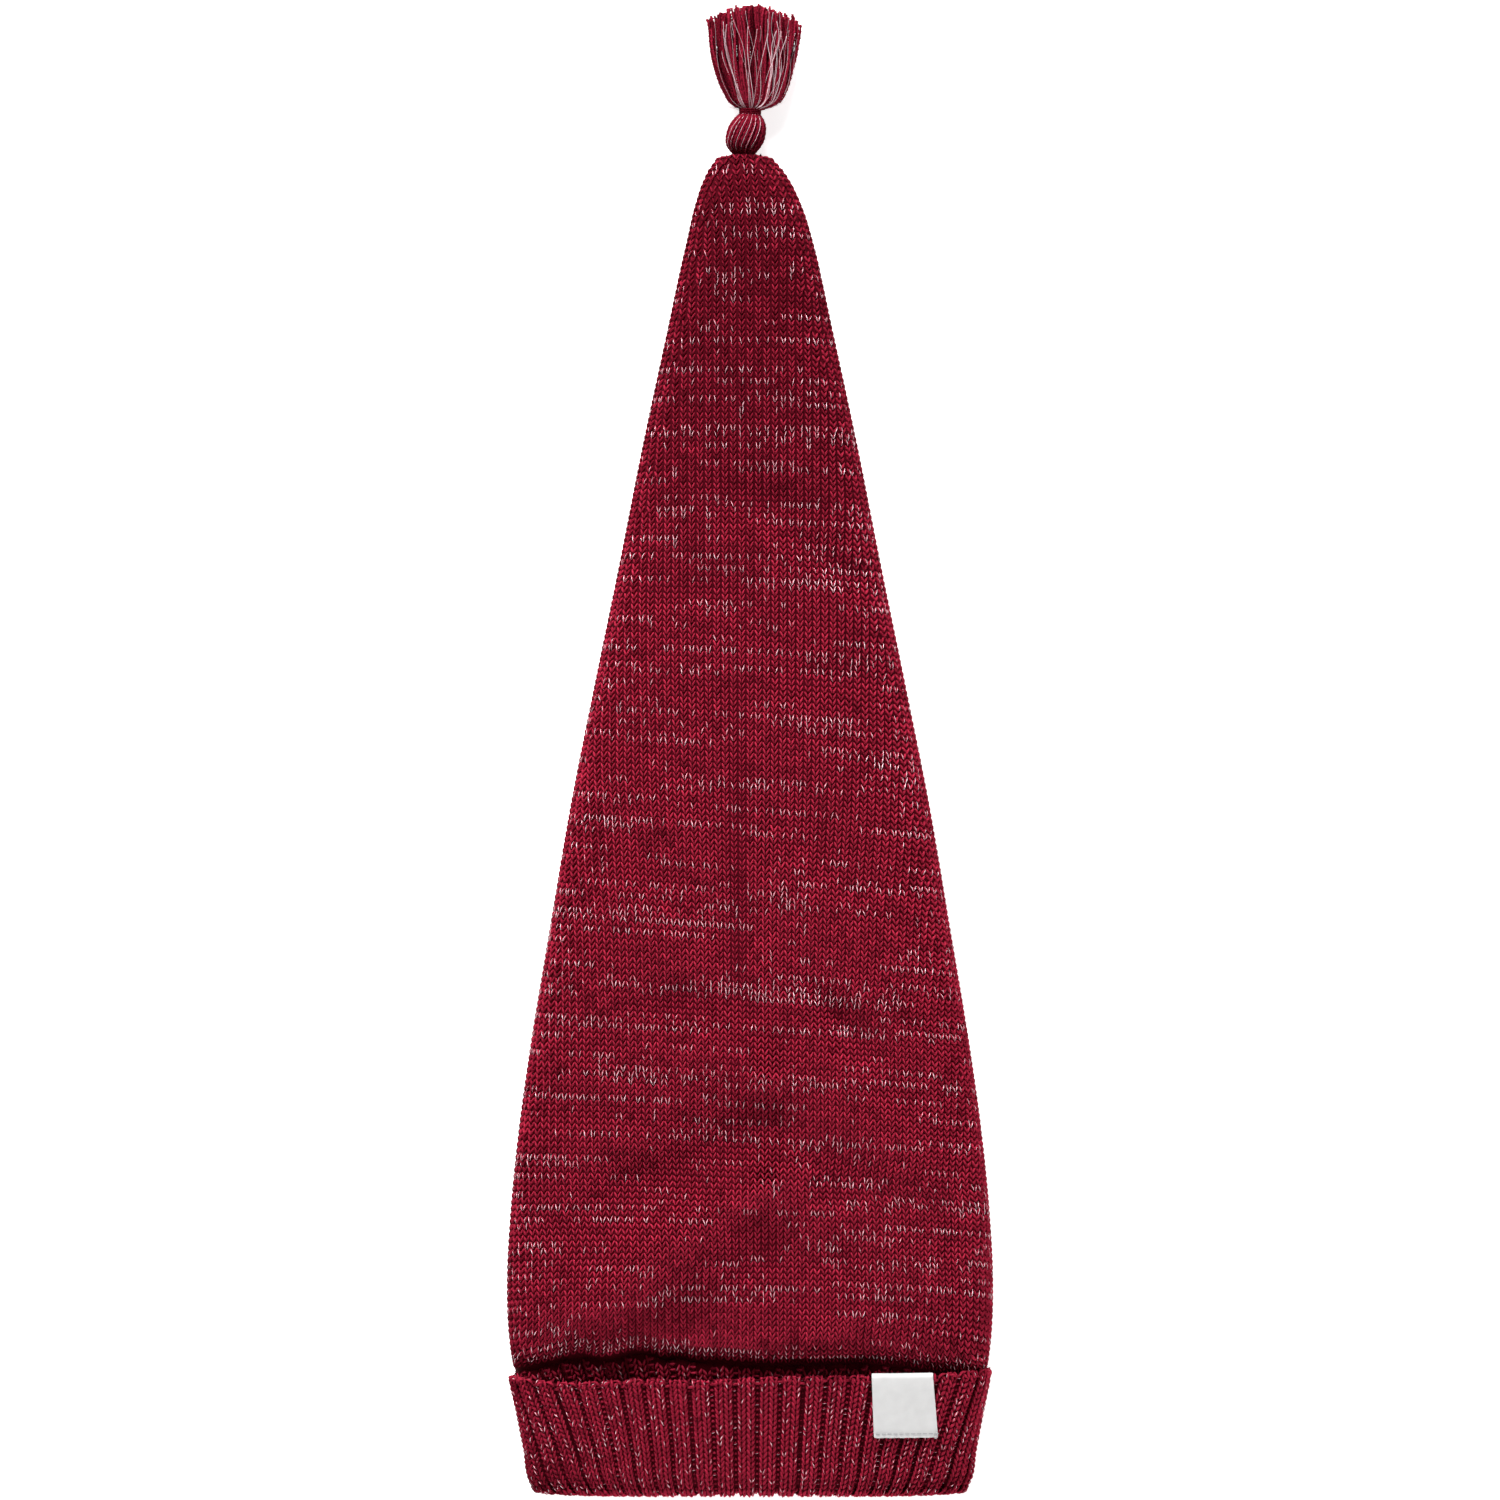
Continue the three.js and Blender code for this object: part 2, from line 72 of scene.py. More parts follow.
# Both sides as shares of the round, with the way in which the ribs draw in, and how far round that reaches
CUFF_SIDES, CUFF_SIDE_REACH = ((0.29, 1), (0.71, -1)), 0.08
CUFF_HEIGHT = 51.0
# Rounding of the cuff's free edge, and place and depth of the fold at its other end
EDGE_ROUND, FOLD_ALONG, FOLD_DEPTH = 1.2, 4.0, 3.4
# How far the folded edge bows up at both sides
MOUTH_BOW = 1.2
# Where the crown starts and ends
JOIN = 56.5
CROWN_END = 564.0
# Sections: roundness above and below their widest line, flattening on the floor, and height of that line
UPPER_ROUNDNESS = 2.7
LOWER_ROUNDNESS = 3.0
FLOOR_PRESS = 1.12
WAIST = 0.4
# From distances along the hat to places in the row frame
ALONG_TO_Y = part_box("crown")[1][1] / MM - CROWN_END

# Sections of the knitted tube: along, width, top, lift
BODY = (
    (0, 173, 27.0, 3.3),
    (6, 177, 28.5, 3.3),
    (20, 182.5, 30.0, 3.2),
    (36, 189.5, 31.0, 3.2),
    (46, 192, 35.0, 3.2),
    (51, 195, 37.2, 3.2),
    (54, 197.2, 38.0, 3.0),
    (58, 198.4, 38.8, 2.6),
    (60, 199.2, 41.6, 2.2),
    (62, 200, 44.8, 1.6),
    (65, 201, 46.5, 1.1),
    (70, 202.4, 47.4, 0.5),
    (77, 203.4, 47.9, 0.1),
    (92, 203.8, 48.3, 0),
    (121, 200.8, 48.0, 0),
    (155, 194, 47.0, 0),
    (188, 184.8, 45.5, 0),
    (239, 168, 43.0, 0),
    (290, 150.8, 40.5, 0),
    (340, 131, 38.0, 0),
    (390, 110.5, 35.5, 0),
    (441, 90.4, 32.5, 0),
    (491, 69, 29.0, 0),
    (525, 54.2, 26.0, 0),
    (542, 45, 23.5, 0.4),
    (552, 37, 21.0, 1.0),
    (558.5, 29, 18.0, 1.5),
    (562.4, 21, 15.8, 2.0),
    (564, 11.6, 14.0, 2.4),
)

# Sections of the cuff's turned-up layer, over its crests: along, width, top, lift
TURNED = (
    (1.2, 180, 31.0, 0.8),
    (5, 184.4, 33.8, 0),
    (20, 190.2, 37.6, 0),
    (36, 196.6, 40.6, 0),
    (47, 201.4, 42.4, 0),
    (51, 202.6, 42.8, 0.2),
)

# Soft hollows and ridges of the crown's front: across, along, reach across, reach along, turn, depth
DENTS = (
    (-32, 137, 48, 14, 20, 5.0),
    (-28, 70, 16, 15, 0, 4.5),
    (84, 132, 7, 30, 0, 2.6),
    (35, 204, 26, 8, -47, 2.2),
    (-30, 380, 22, 9, 0, 1.8),
    (7, 240, 9, 120, 0, -1.6),
    (85, 118, 6, 60, 0, 2.0),
    (-42, 97, 32, 18, 45, -6.4),
    (-58, 84, 10, 18, 0, -2.4),
    (97, 105, 7, 40, 0, -2.0),
    (-80, 78, 25, 12, -20, -2.5),
    (28, 67, 12, 9, -10, -4.5),
    (5, 103, 18, 11, 25, 2.6),
    (38, 103, 16, 11, 20, 3.2),
    (38, 135, 12, 18, 20, 3.6),
    (6, 130, 24, 9, 27, -2.8),
    (-8, 155, 30, 9, 22, 1.2),
    (-60, 162, 40, 9, -10, 2.7),
    (6, 174, 12, 10, 0, -2.3),
    (42, 196, 24, 8, -50, 3.7),
    (-30, 208, 16, 11, 0, 3.8),
    (0, 245, 13, 80, 4, 3.2),
    (72, 232, 8, 12, 0, 1.5),
    (25, 345, 25, 8, 0, 2.6),
    (38, 390, 22, 7, -35, 4.0),
    (5, 418, 40, 11, -10, 3.5),
    (-66, 64, 4, 9, 0, 2.0),
    (-50, 64, 3.5, 8, 0, 1.8),
    (-14, 64, 4, 8, 0, 1.6),
    (20, 63, 4, 8, 0, 1.2),
    (48, 63, 5, 9, 0, 1.6),
)

# Slight unevenness of the lying knit: waves across, waves along (per metre), phase, height
WAVES = (
    (9, 14, 0.4, 0.5),
    (17, 9, 2.1, 0.4),
    (12, 23, 4.0, 0.4),
    (26, 19, 1.2, 0.25),
)
# Wavy line where the crown swells out over the cuff: across, along
CREASE = (
    (-98, 57.5),
    (-86, 60.0),
    (-79, 62.0),
    (-71, 64.0),
    (-63, 62.6),
    (-52, 64.6),
    (-42, 64.8),
    (-37, 62.8),
    (-29, 63.0),
    (-23, 61.8),
    (-9, 61.6),
    (5, 60.6),
    (19, 60.6),
    (40, 61.2),
    (61, 60.4),
    (75, 58.4),
    (89, 56.4),
    (98, 55.8),
)
# Rise of that line over the crown's start, and how far along its waves reach
CREASE_RISE, CREASE_FADE = 3.5, 16.0

# Line of the cuff's free edge: across, along
FREE_EDGE = (
    (-98, 51.2),
    (-84, 49.6),
    (-43, 50.9),
    (-20, 50.4),
    (0, 51.6),
    (30, 52.4),
    (70, 52.5),
    (98, 54.4),
)
# Gathers at the tip: count, depth and how far along they reach
GATHERS, GATHER_DEPTH, GATHER_FADE = 12, 0.9, 9.0
# The drawn-in tip and the tassel stand a little off the middle line
TIP_ACROSS, TIP_BEND = -2.6, 46.0

# How the crown's courses lie: bare margins below the first and above the last
FIRST_COURSE, LAST_COURSE = 1.5, 1.2
# Sag of the courses at both sides, more of it low down (where, how far up), and the rise at which it sets in
SAG, LOW_SAG, LOW_SAG_ALONG, LOW_SAG_REACH, SAG_START = 1.5, 5.0, 60.0, 60.0, 12.0
# Lean of the courses to one side, and where and how far along it shows
COURSE_LEAN, LEAN_ALONG, LEAN_REACH = 0.075, 250.0, 140.0
# Low on the front the wales lie closer: by this share, up to here, with this softness
FINER_LOW, FINER_ALONG, FINER_REACH = 0.11, 265.0, 25.0
# Stitches grow slimmer towards the tip: by this share, from here, over this length
SLIMMER, SLIMMER_ALONG, SLIMMER_REACH = 0.17, 250.0, 200.0
# Width in stitches of the wales along each side edge, and the number of the first of them
EDGE_WIDTH, EDGE_WALE = 1.5, 90
# Stitches of the back: width and height against the front's, and thickness of their silver thread
BACK_WIDE, BACK_HIGH, BACK_THREAD = 1.03, 1.13, 0.7

# Tone of the crown's yarn: middle, unevenness of courses and of stitches, and painted shade that darkens its
# left edge
CROWN_TONE, COURSE_TONE, STITCH_TONE, LEFT_PAINTED_SHADE = 0.53, 0.035, 0.12, 0.35
# Steps to darker yarn up the crown: tone, along, softness
DARKER = ((0.23, 425.0, 18.0), (0.12, 495.0, 14.0))
# Tone of the cuff's yarn: middle, with painted light that sets it paler than the crown's, unevenness of
# courses and of stitches, painted light that pales the crease, and painted shade that darkens the sunk
# stitches
RIB_TONE_AND_PAINTED_LIGHT, RIB_COURSE_TONE, RIB_STITCH_TONE, CREASE_PAINTED_LIGHT, PURL_PAINTED_SHADE = 0.62, 0.03, 0.09, 0.45, 0.2

# Silver thread of the crown: likeness of neighbouring stitches, levelling of whole courses, more of it in the
# lowest courses, none in the first and last, less at the side edges, and the softness of its patches
SILVER_LIKE, SILVER_LEVEL, LOW_SILVER, NO_SILVER, EDGE_SILVER, SILVER_SOFT = 0.94, 0.5, 0.7, -5.0, 1.0, 1.2
# Room for wales on each side of the middle line
WALE_ROOM = 100
# Chance of silver on the leg that a stitch favours and on its other leg, and what full silver adds to both
FAVOURED_LEG, OTHER_LEG, MORE_SILVER = 0.45, 0.05, 0.45

# Label over the free edge
LABEL_ACROSS, LABEL_WIDTH, LABEL_TAPER, LABEL_SLANT = 63.6, 27.0, 0.6, 1.6
LABEL_FRONT, LABEL_BACK, LABEL_TAPE = 25.2, 22.0, 0.6
# Seam near the tape's sewn end: distance from that end, half width, depth and its ripple
SEAM_ALONG, SEAM_HALF, SEAM_DEPTH, SEAM_RIPPLE = 1.7, 0.9, 0.22, 0.08

# Tassel, from the crown's tip along its own axis
TASSEL_HEIGHT = 8.2
# Radius of the ball along its run
BALL = ((0, 4.6), (1.6, 6.2), (4.4, 7.8), (8.2, 8.2), (12, 7.4), (14.8, 5.6), (16.2, 4.3), (22, 4.0))
NECK_ALONG, NECK_RADIUS = 17.8, 4.1
# Turn of the ball's strands from its foot to the neck
BALL_TURN = 0.55
# The ball leans to the right from its foot to the neck, per mm
STEM_LEAN = 0.18
# Length of the skirt, its shift to the right at the neck and back from that at its end, and its half height
SKIRT_LENGTH, SKIRT_SHIFT, SKIRT_BACK, SKIRT_HIGH = 43.9, 2.9, 1.9, 6.8
# Half width of the skirt along its run from the neck
SKIRT = ((0, 3.2), (0.025, 4.8), (0.055, 7.8), (0.1, 10.4), (0.2, 12.8), (0.4, 15.6), (0.7, 18.3), (1, 19.8))
# Rings of strands in the skirt: count, share of the way out
STRAND_RINGS = ((54, 1.0), (44, 0.82), (32, 0.6), (18, 0.35), (6, 0.1))
# Strands over the ball, and silver filaments: all in the skirt, those on its front, and those over the ball
BALL_STRANDS, FILAMENTS, FRONT_FILAMENTS, BALL_FILAMENTS = 30, 36, 28, 9
# Angles of the ball's filaments that show from the front
BALL_FRONT = (1.5, 1.8, 2.15, 2.5, 1.15, 2.8)
# Filaments that stray: angle, share out, share of length, sideways bow
STRAYS = (
    (2.9, 1.08, 0.9, -2.2),
    (3.05, 1.1, 0.72, -3.0),
    (0.15, 1.05, 0.95, 1.2),
    (1.3, 1.0, 1.0, 6.0),
    (2.4, 1.05, 1.04, -1.5),
)
# Tone of the ball's and the skirt's yarn, with their unevenness, and of the tie and the filling
BALL_TONE, BALL_UNEVEN, SKIRT_TONE, SKIRT_UNEVEN, TIE_TONE, CORE_TONE = 0.14, 0.1, 0.31, 0.15, 0.02, 0.4

# One leg of a knitted stitch, from its foot to its head: run, out, rise, half width, thickness.
# Run counts in courses, out and half width in stitch widths, rise and thickness in yarn thicknesses.
KNIT_LEG = (
    (-0.80, 0.02, 0.0, 0, 0),
    (-0.42, 0.10, 0.34, 0.175, 0.85),
    (0.02, 0.23, 0.45, 0.20, 1.0),
    (0.46, 0.36, 0.06, 0.175, 0.88),
    (0.86, 0.48, -0.60, 0, 0),
)
BACK_LEG = (
    (-0.80, 0.02, 0.0, 0, 0),
    (-0.26, 0.15, 0.3, 0.18, 0.95),
    (0.3, 0.31, 0.22, 0.18, 0.95),
    (0.86, 0.48, -0.60, 0, 0),
)
RIB_LEG = (
    (-0.86, 0.11, 0.05, 0, 0),
    (-0.42, 0.15, 0.40, 0.165, 0.85),
    (0.02, 0.24, 0.45, 0.19, 1.0),
    (0.46, 0.33, 0.0, 0.165, 0.85),
    (0.86, 0.39, -0.70, 0, 0),
)
SILVER_LEG = (
    (-0.68, 0.10, 0.74, 0, 0),
    (-0.05, 0.20, 1.0, 0.043, 0.08),
    (0.62, 0.33, 0.50, 0, 0),
)
PURL_BUMP = (
    (-0.60, -0.14, -0.45, 0, 0),
    (-0.32, 0.04, 0.05, 0.27, 0.85),
    (0.0, 0.12, 0.3, 0.31, 1.0),
    (0.32, 0.04, 0.05, 0.27, 0.85),
    (0.60, -0.14, -0.45, 0, 0),
)
# Stitches of one rib, two broad raised ones and a narrow sunk one: place and width in stitches, lean, raised
RIB_KINDS = (
    (-0.14, 1.28, 0.24, 1),
    (1.14, 1.28, -0.24, 1),
    (2.0, 0.6, 0.0, 0),
)

# Colours that go with those in the sidebar
DULL_SILVER = (0.55, 0.22, 0.27)
TAPE_SHADE = (0.58, 0.575, 0.57)
THREAD_GREY = (0.42, 0.42, 0.43)
THREAD_SHADE = (0.3, 0.3, 0.31)

# Stage, in metres. Soft lights: name, place, size, share of the key light's power
LAMPS = (
    ("key_light", (-0.9, 3.95, 2.0), 2.4, 1.0),
    ("side_light", (4.0, -0.4, 0.6), 1.6, 0.12),
    ("low_light", (0.2, -3.9, 0.8), 1.8, 0.24),
)
FLOOR_HALF = 4.0
# Width of the camera's sensor in millimetres, height at which its field is measured, and its place along
SENSOR, FIELD_HEIGHT, CAMERA_ALONG = 36.0, 0.022, -0.0002


def read(table, along):
    """Columns of a table of sections, read smoothly at any distance along it."""
    rows = np.array(table, float)
    places = rows[:, 0]
    along = np.clip(np.atleast_1d(np.asarray(along, float)), places[0], places[-1])
    slopes = np.gradient(rows[:, 1:], places, axis=0)
    at = np.clip(np.searchsorted(places, along, "right") - 1, 0, len(places) - 2)
    step = (places[at + 1] - places[at])[:, None]
    t = (along - places[at])[:, None] / step
    start, end = rows[at, 1:], rows[at + 1, 1:]
    leave, arrive = slopes[at] * step, slopes[at + 1] * step
    return (
        (2 * t**3 - 3 * t**2 + 1) * start
        + (t**3 - 2 * t**2 + t) * leave
        + (3 * t**2 - 2 * t**3) * end
        + (t**3 - t**2) * arrive
    )


def unit(vectors):
    """Vectors at length one."""
    return vectors / np.maximum(np.linalg.norm(vectors, axis=-1, keepdims=True), 1e-9)


def to_frame(points):
    """Points (across, along, height) in millimetres as places in the row frame, in metres."""
    placed = np.array(points, float)
    placed[..., 1] += ALONG_TO_Y
    return placed * MM


def lying_section(columns, inset, start, count):
    """Across and height of lying sections, turning from an angle by the way of falling angles."""
    width, top, lift = columns.T[:, :, None]
    lift = np.maximum(lift, 0)
    angle = start - np.linspace(0, 2 * np.pi, count)
    cosine, sine = np.cos(angle), np.sin(angle)
    upper = sine > 0
    power = np.where(upper, 2 / UPPER_ROUNDNESS, 2 / LOWER_ROUNDNESS)
    side = np.sign(cosine) * np.abs(cosine) ** power
    rise = np.abs(sine) ** power
    rise = np.where(upper, rise, np.minimum(1, rise * FLOOR_PRESS))
    waist = lift + (top - lift) * WAIST
    reach = np.where(upper, top - inset - waist, lift + inset - waist)
    return (width / 2 - inset) * side, waist + reach * rise


def run_round(across, height):
    """Distance round each ring from its first point."""
    steps = np.hypot(np.diff(across, axis=1), np.diff(height, axis=1))
    return np.concatenate([np.zeros((len(across), 1)), np.cumsum(steps, axis=1)], axis=1)


def dent_depth(across, along):
    """Depth of the crown's hollows, less its ridges and unevenness."""
    depth = np.zeros(np.broadcast(across, along).shape)
    for x, y, reach_x, reach_y, turn, deep in DENTS:
        c, s = math.cos(math.radians(turn)), math.sin(math.radians(turn))
        u = ((across - x) * c + (along - y) * s) / reach_x
        v = ((along - y) * c - (across - x) * s) / reach_y
        depth = depth + deep * np.exp(-u * u - v * v)
    for wide, long, phase, high in WAVES:
        depth = depth + high * np.sin(2 * np.pi * MM * (wide * across + long * along) + phase)
    return depth


def line_at(table, across):
    """A line's distance along at places across, in the shape of those places."""
    return read(table, np.ravel(across))[:, 0].reshape(np.shape(across))


def crease_shift(across, along):
    """How far the wavy crease moves a place on the front along the hat."""
    return (line_at(CREASE, across) - JOIN - CREASE_RISE) * np.exp(-(((along - JOIN) / CREASE_FADE) ** 2))


def free_edge_shift(across, along):
    """How far the free edge's line moves a place on the turned-up layer's front along the hat."""
    return (line_at(FREE_EDGE, across) - CUFF_HEIGHT) * (along / CUFF_HEIGHT) ** 2


def front_share(columns, height):
    """1 on the front of a section, fading to 0 from its widest line to the floor."""
    _, top, lift = columns.T[:, :, None]
    lift = np.maximum(lift, 0)
    return np.clip(height / (lift + (top - lift) * WAIST), 0, 1)


def crown_rings(along, inset, start, count):
    """Rings of the crown with its hollows, crease and gathers, as points (across, along, height)."""
    columns = read(BODY, along)
    across, height = lying_section(columns, inset, start, count)
    run = run_round(across, height)
    share = (start + np.pi / 2) / (2 * np.pi) - run / run[:, -1:]
    _, top, lift = columns.T[:, :, None]
    lift = np.maximum(lift, 0)
    waist, centre = lift + (top - lift) * WAIST, (top + lift) / 2
    place = np.asarray(along, float)[:, None]
    upper = np.maximum(0, height - waist) / (top - waist)
    shifted = place + crease_shift(across, place) * front_share(columns, height)
    height = height - upper * dent_depth(across, place)
    pinch = GATHER_DEPTH * np.exp(-(((CROWN_END - place) / GATHER_FADE) ** 2))
    gather = (np.cos(2 * np.pi * GATHERS * share) - 1) / 2
    drawn = 1 + pinch * gather / np.maximum(np.hypot(across, height - centre), 1)
    bend = TIP_ACROSS * np.clip(1 - (CROWN_END - place) / TIP_BEND, 0, 1) ** 2
    return np.stack([across * drawn + bend, shifted, centre + (height - centre) * drawn], axis=-1)


def bow(along, side):
    """How far the folded edge's bow moves a place on the cuff."""
    return MOUTH_BOW * np.maximum(0, 1 - along / (JOIN - GAP)) * side**6


class Cloth:
    """A knitted surface on an even grid.

    Its rows count the distance up the cloth, its columns the distance or the stitches across.
    """

    def __init__(self, points, first, step, rises):
        self.points = points
        self.first = first
        self.step = step
        self.rises = rises

    def at(self, rise, turn):
        """Points at distances up and across."""
        rows, columns = self.points.shape[:2]
        spacing = self.rises[1] - self.rises[0]
        r = np.clip((rise - self.rises[0]) / spacing, 0, rows - 1.001)
        c = np.clip((turn - self.first) / self.step, 0, columns - 1.001)
        i, j = r.astype(int), c.astype(int)
        fr, fc = (r - i)[..., None], (c - j)[..., None]
        low = self.points[i, j] * (1 - fc) + self.points[i, j + 1] * fc
        high = self.points[i + 1, j] * (1 - fc) + self.points[i + 1, j + 1] * fc
        return low * (1 - fr) + high * fr

    def lie(self, rise, turn, ahead=None, span=1.5, reach=1.5):
        """Place, way across, way up and way out of the cloth; ahead gives the wale's own course of turns."""
        ahead = (lambda r: turn) if ahead is None else ahead
        across = self.at(rise, turn + reach) - self.at(rise, turn - reach)
        up = self.at(rise + span, ahead(rise + span)) - self.at(rise - span, ahead(rise - span))
        return self.at(rise, turn), unit(across), unit(up), unit(np.cross(across, up))


def crown_cloth(back):
    """The crown's front or back as a cloth, with the distance from its middle line to each side edge."""
    along = np.linspace(JOIN + RIM_GAP / 2, CROWN_END, 1100)
    width, top = read(BODY, along).T[:2]
    # The climb is taken half-way between the flat middle and the sloping edges
    slope = np.gradient(width / 2, along) * 0.5
    steps = np.sqrt(1 + slope**2 + np.gradient(top, along) ** 2 * 0.25)
    climb = np.concatenate([[0], np.cumsum((steps[1:] + steps[:-1]) / 2 * np.diff(along))])
    rises = np.arange(0, climb[-1], 1.0)
    rows = np.interp(rises, climb, along)
    count = 721
    rings = crown_rings(rows, STITCH_BED, np.pi * (2.5 if back else 1.5), count)
    run = run_round(rings[..., 0], rings[..., 2])
    run = run - run[:, count // 2, None]
    reach = 126
    turns = np.arange(-reach, reach + 0.5, 1.0)
    grid = np.empty((len(rows), len(turns), 3))
    for index, ring in enumerate(rings):
        for axis in range(3):
            grid[index, :, axis] = np.interp(turns, run[index], ring[:, axis])
    cloth = Cloth(grid, turns[0], 1.0, rises)
    cloth.left = -run[:, count // 4]
    cloth.right = run[:, 3 * count // 4]
    cloth.along = rows
    return cloth


class Places:
    """Where stitches go: place, way out, way up, stretch, tone, course and wale of each."""

    def __init__(self):
        self.parts = []

    def add(self, place, out, up, stretch, tone, course, wale):
        """Adds a group of stitches; what is given once holds for all of them."""
        count = len(place)
        filled = [np.broadcast_to(np.asarray(x, float), (count,)) for x in (tone, course, wale)]
        stretch = np.broadcast_to(np.asarray(stretch, float), (count, 3))
        self.parts.append((place, out, up, stretch, *filled))

    def joined(self):
        """All stitches so far, as one array under each name."""
        names = ("place", "out", "up", "stretch", "tone", "course", "wale")
        return {name: np.concatenate(part) for name, part in zip(names, zip(*self.parts))}


def pick(places, chosen):
    """The chosen rows of joined places."""
    return {name: values[chosen] for name, values in places.items()}


def wale_row(limit, pitch, sign):
    """Middles and stretches of the wales from the middle line to one side; the last three take the rest."""
    last = int(math.floor(limit / pitch - 0.5))
    if last < 1:
        return np.zeros(0), np.zeros(0)
    middles = np.arange(1, last + 1) * pitch
    stretch = np.ones(last)
    few = min(3, last)
    spare = limit - (last + 0.5) * pitch
    wide = pitch + spare / few
    middles[-few:] = (last - few + 0.5) * pitch + (np.arange(few) + 0.5) * wide
    stretch[-few:] = wide / pitch
    return sign * middles, stretch


def crown_places(cloth, pitch, course_height, rng, finer, with_edges):
    """Stitches of the crown's front or back: upright wales, and wales along its side edges."""
    found = Places()
    courses = np.arange(FIRST_COURSE, cloth.rises[-1] - LAST_COURSE, course_height)
    for course, rise in enumerate(courses):
        along = np.interp(rise, cloth.rises, cloth.along)
        right = np.interp(rise, cloth.rises, cloth.right)
        left = np.interp(rise, cloth.rises, cloth.left)
        share = 1 - finer / (1 + math.exp((along - FINER_ALONG) / FINER_REACH))
        turn_r, wide_r = wale_row(right - EDGE_WIDTH * pitch, pitch * share, 1)
        turn_l, wide_l = wale_row(left - EDGE_WIDTH * pitch, pitch * share, -1)
        middle = [0.0] if min(left, right) > 2 * pitch else []
        turn = np.concatenate([turn_l[::-1], middle, turn_r])
        wide = share * np.concatenate([wide_l[::-1], np.ones(len(middle)), wide_r])
        sag = SAG + LOW_SAG * math.exp(-(((along - LOW_SAG_ALONG) / LOW_SAG_REACH) ** 2))
        sag *= 1 - math.exp(-rise / SAG_START)
        lean = COURSE_LEAN * math.exp(-(((along - LEAN_ALONG) / LEAN_REACH) ** 2))
        darker = sum(step / (1 + math.exp((start - along) / soft)) for step, start, soft in DARKER)
        band = CROWN_TONE + COURSE_TONE * rng.standard_normal() - darker
        slim = 1 - SLIMMER * min(1, max(0, (along - SLIMMER_ALONG) / SLIMMER_REACH))

        def place(turn, wide, wale, ahead=None):
            if not len(turn):
                return
            half = np.where(turn > 0, right, left)
            level = rise - sag * np.abs(turn / half) ** 3 - lean * turn
            spot, _, up, out = cloth.lie(level, turn, ahead)
            # Painted shade: the yarn darkens towards the crown's left side edge
            tone = band - LEFT_PAINTED_SHADE * np.clip(-turn / half, 0, 1) ** 6
            tone = tone + STITCH_TONE * rng.standard_normal(len(turn))
            stretch = np.stack([wide * slim, np.ones(len(turn)), np.ones(len(turn))], axis=1)
            found.add(spot, out, up, stretch, tone, course, wale)

        place(turn, wide, np.round(turn / (pitch * share)))
        for sign, edge in ((1, cloth.right), (-1, cloth.left)):
            for step in (0, 1) if with_edges else (1,):
                def ahead(level, sign=sign, edge=edge, step=step):
                    return sign * (np.interp(level, cloth.rises, edge) - step * pitch)
                at = np.atleast_1d(ahead(rise))
                if abs(at[0]) > 0.6 * pitch:
                    place(at, np.ones(1), EDGE_WALE * sign + step, ahead)
    return found.joined()


def silver_runs(places, share, rng):
    """How strongly the silver thread shows on each stitch: 0 to 1, in patches that run along the courses."""
    course, wale = places["course"].astype(int), places["wale"].astype(int)
    field = rng.standard_normal((course.max() + 1, 2 * WALE_ROOM))
    lines, fresh = field.T, math.sqrt(1 - SILVER_LIKE**2)
    for index in range(1, len(lines)):
        lines[index] = SILVER_LIKE * lines[index - 1] + fresh * lines[index]
    field -= SILVER_LEVEL * field.mean(axis=1, keepdims=True)
    field[1:4] += LOW_SILVER
    field[0] = NO_SILVER
    field[-1] = NO_SILVER
    at_edge = np.abs(wale) >= EDGE_WALE - 1
    found = field[course, wale + WALE_ROOM] - EDGE_SILVER * at_edge
    return np.clip((found - np.quantile(found, 1 - share)) / SILVER_SOFT, 0, 1)


def mesh_from(name, points, faces, smooth=True, uv=None, tone=None):
    """A mesh from arrays of points and equal-sided faces, with its yarn map and tones."""
    mesh = bpy.data.meshes.new(name)
    faces = np.asarray(faces, np.int32)
    sides = faces.shape[1]
    mesh.vertices.add(len(points))
    mesh.vertices.foreach_set("co", np.asarray(points, np.float32).ravel())
    mesh.loops.add(faces.size)
    mesh.loops.foreach_set("vertex_index", faces.ravel())
    mesh.polygons.add(len(faces))
    mesh.polygons.foreach_set("loop_start", np.arange(0, faces.size, sides, dtype=np.int32))
    mesh.update(calc_edges=True)
    mesh.polygons.foreach_set("use_smooth", np.full(len(faces), smooth))
    if uv is not None:
        layer = mesh.uv_layers.new(name="yarn")
        layer.uv.foreach_set("vector", np.asarray(uv, np.float32)[faces.ravel()].ravel())
    if tone is not None:
        mesh.attributes.new("tone", "FLOAT", "POINT").data.foreach_set("value", np.asarray(tone, np.float32))
    mesh.validate()
    return mesh


def object_of(mesh, material=None):
    """An object at the origin for a finished mesh."""
    piece = bpy.data.objects.new(mesh.name, mesh)
    bpy.context.scene.collection.objects.link(piece)
    if material is not None:
        mesh.materials.clear()
        mesh.materials.append(material)
    return piece


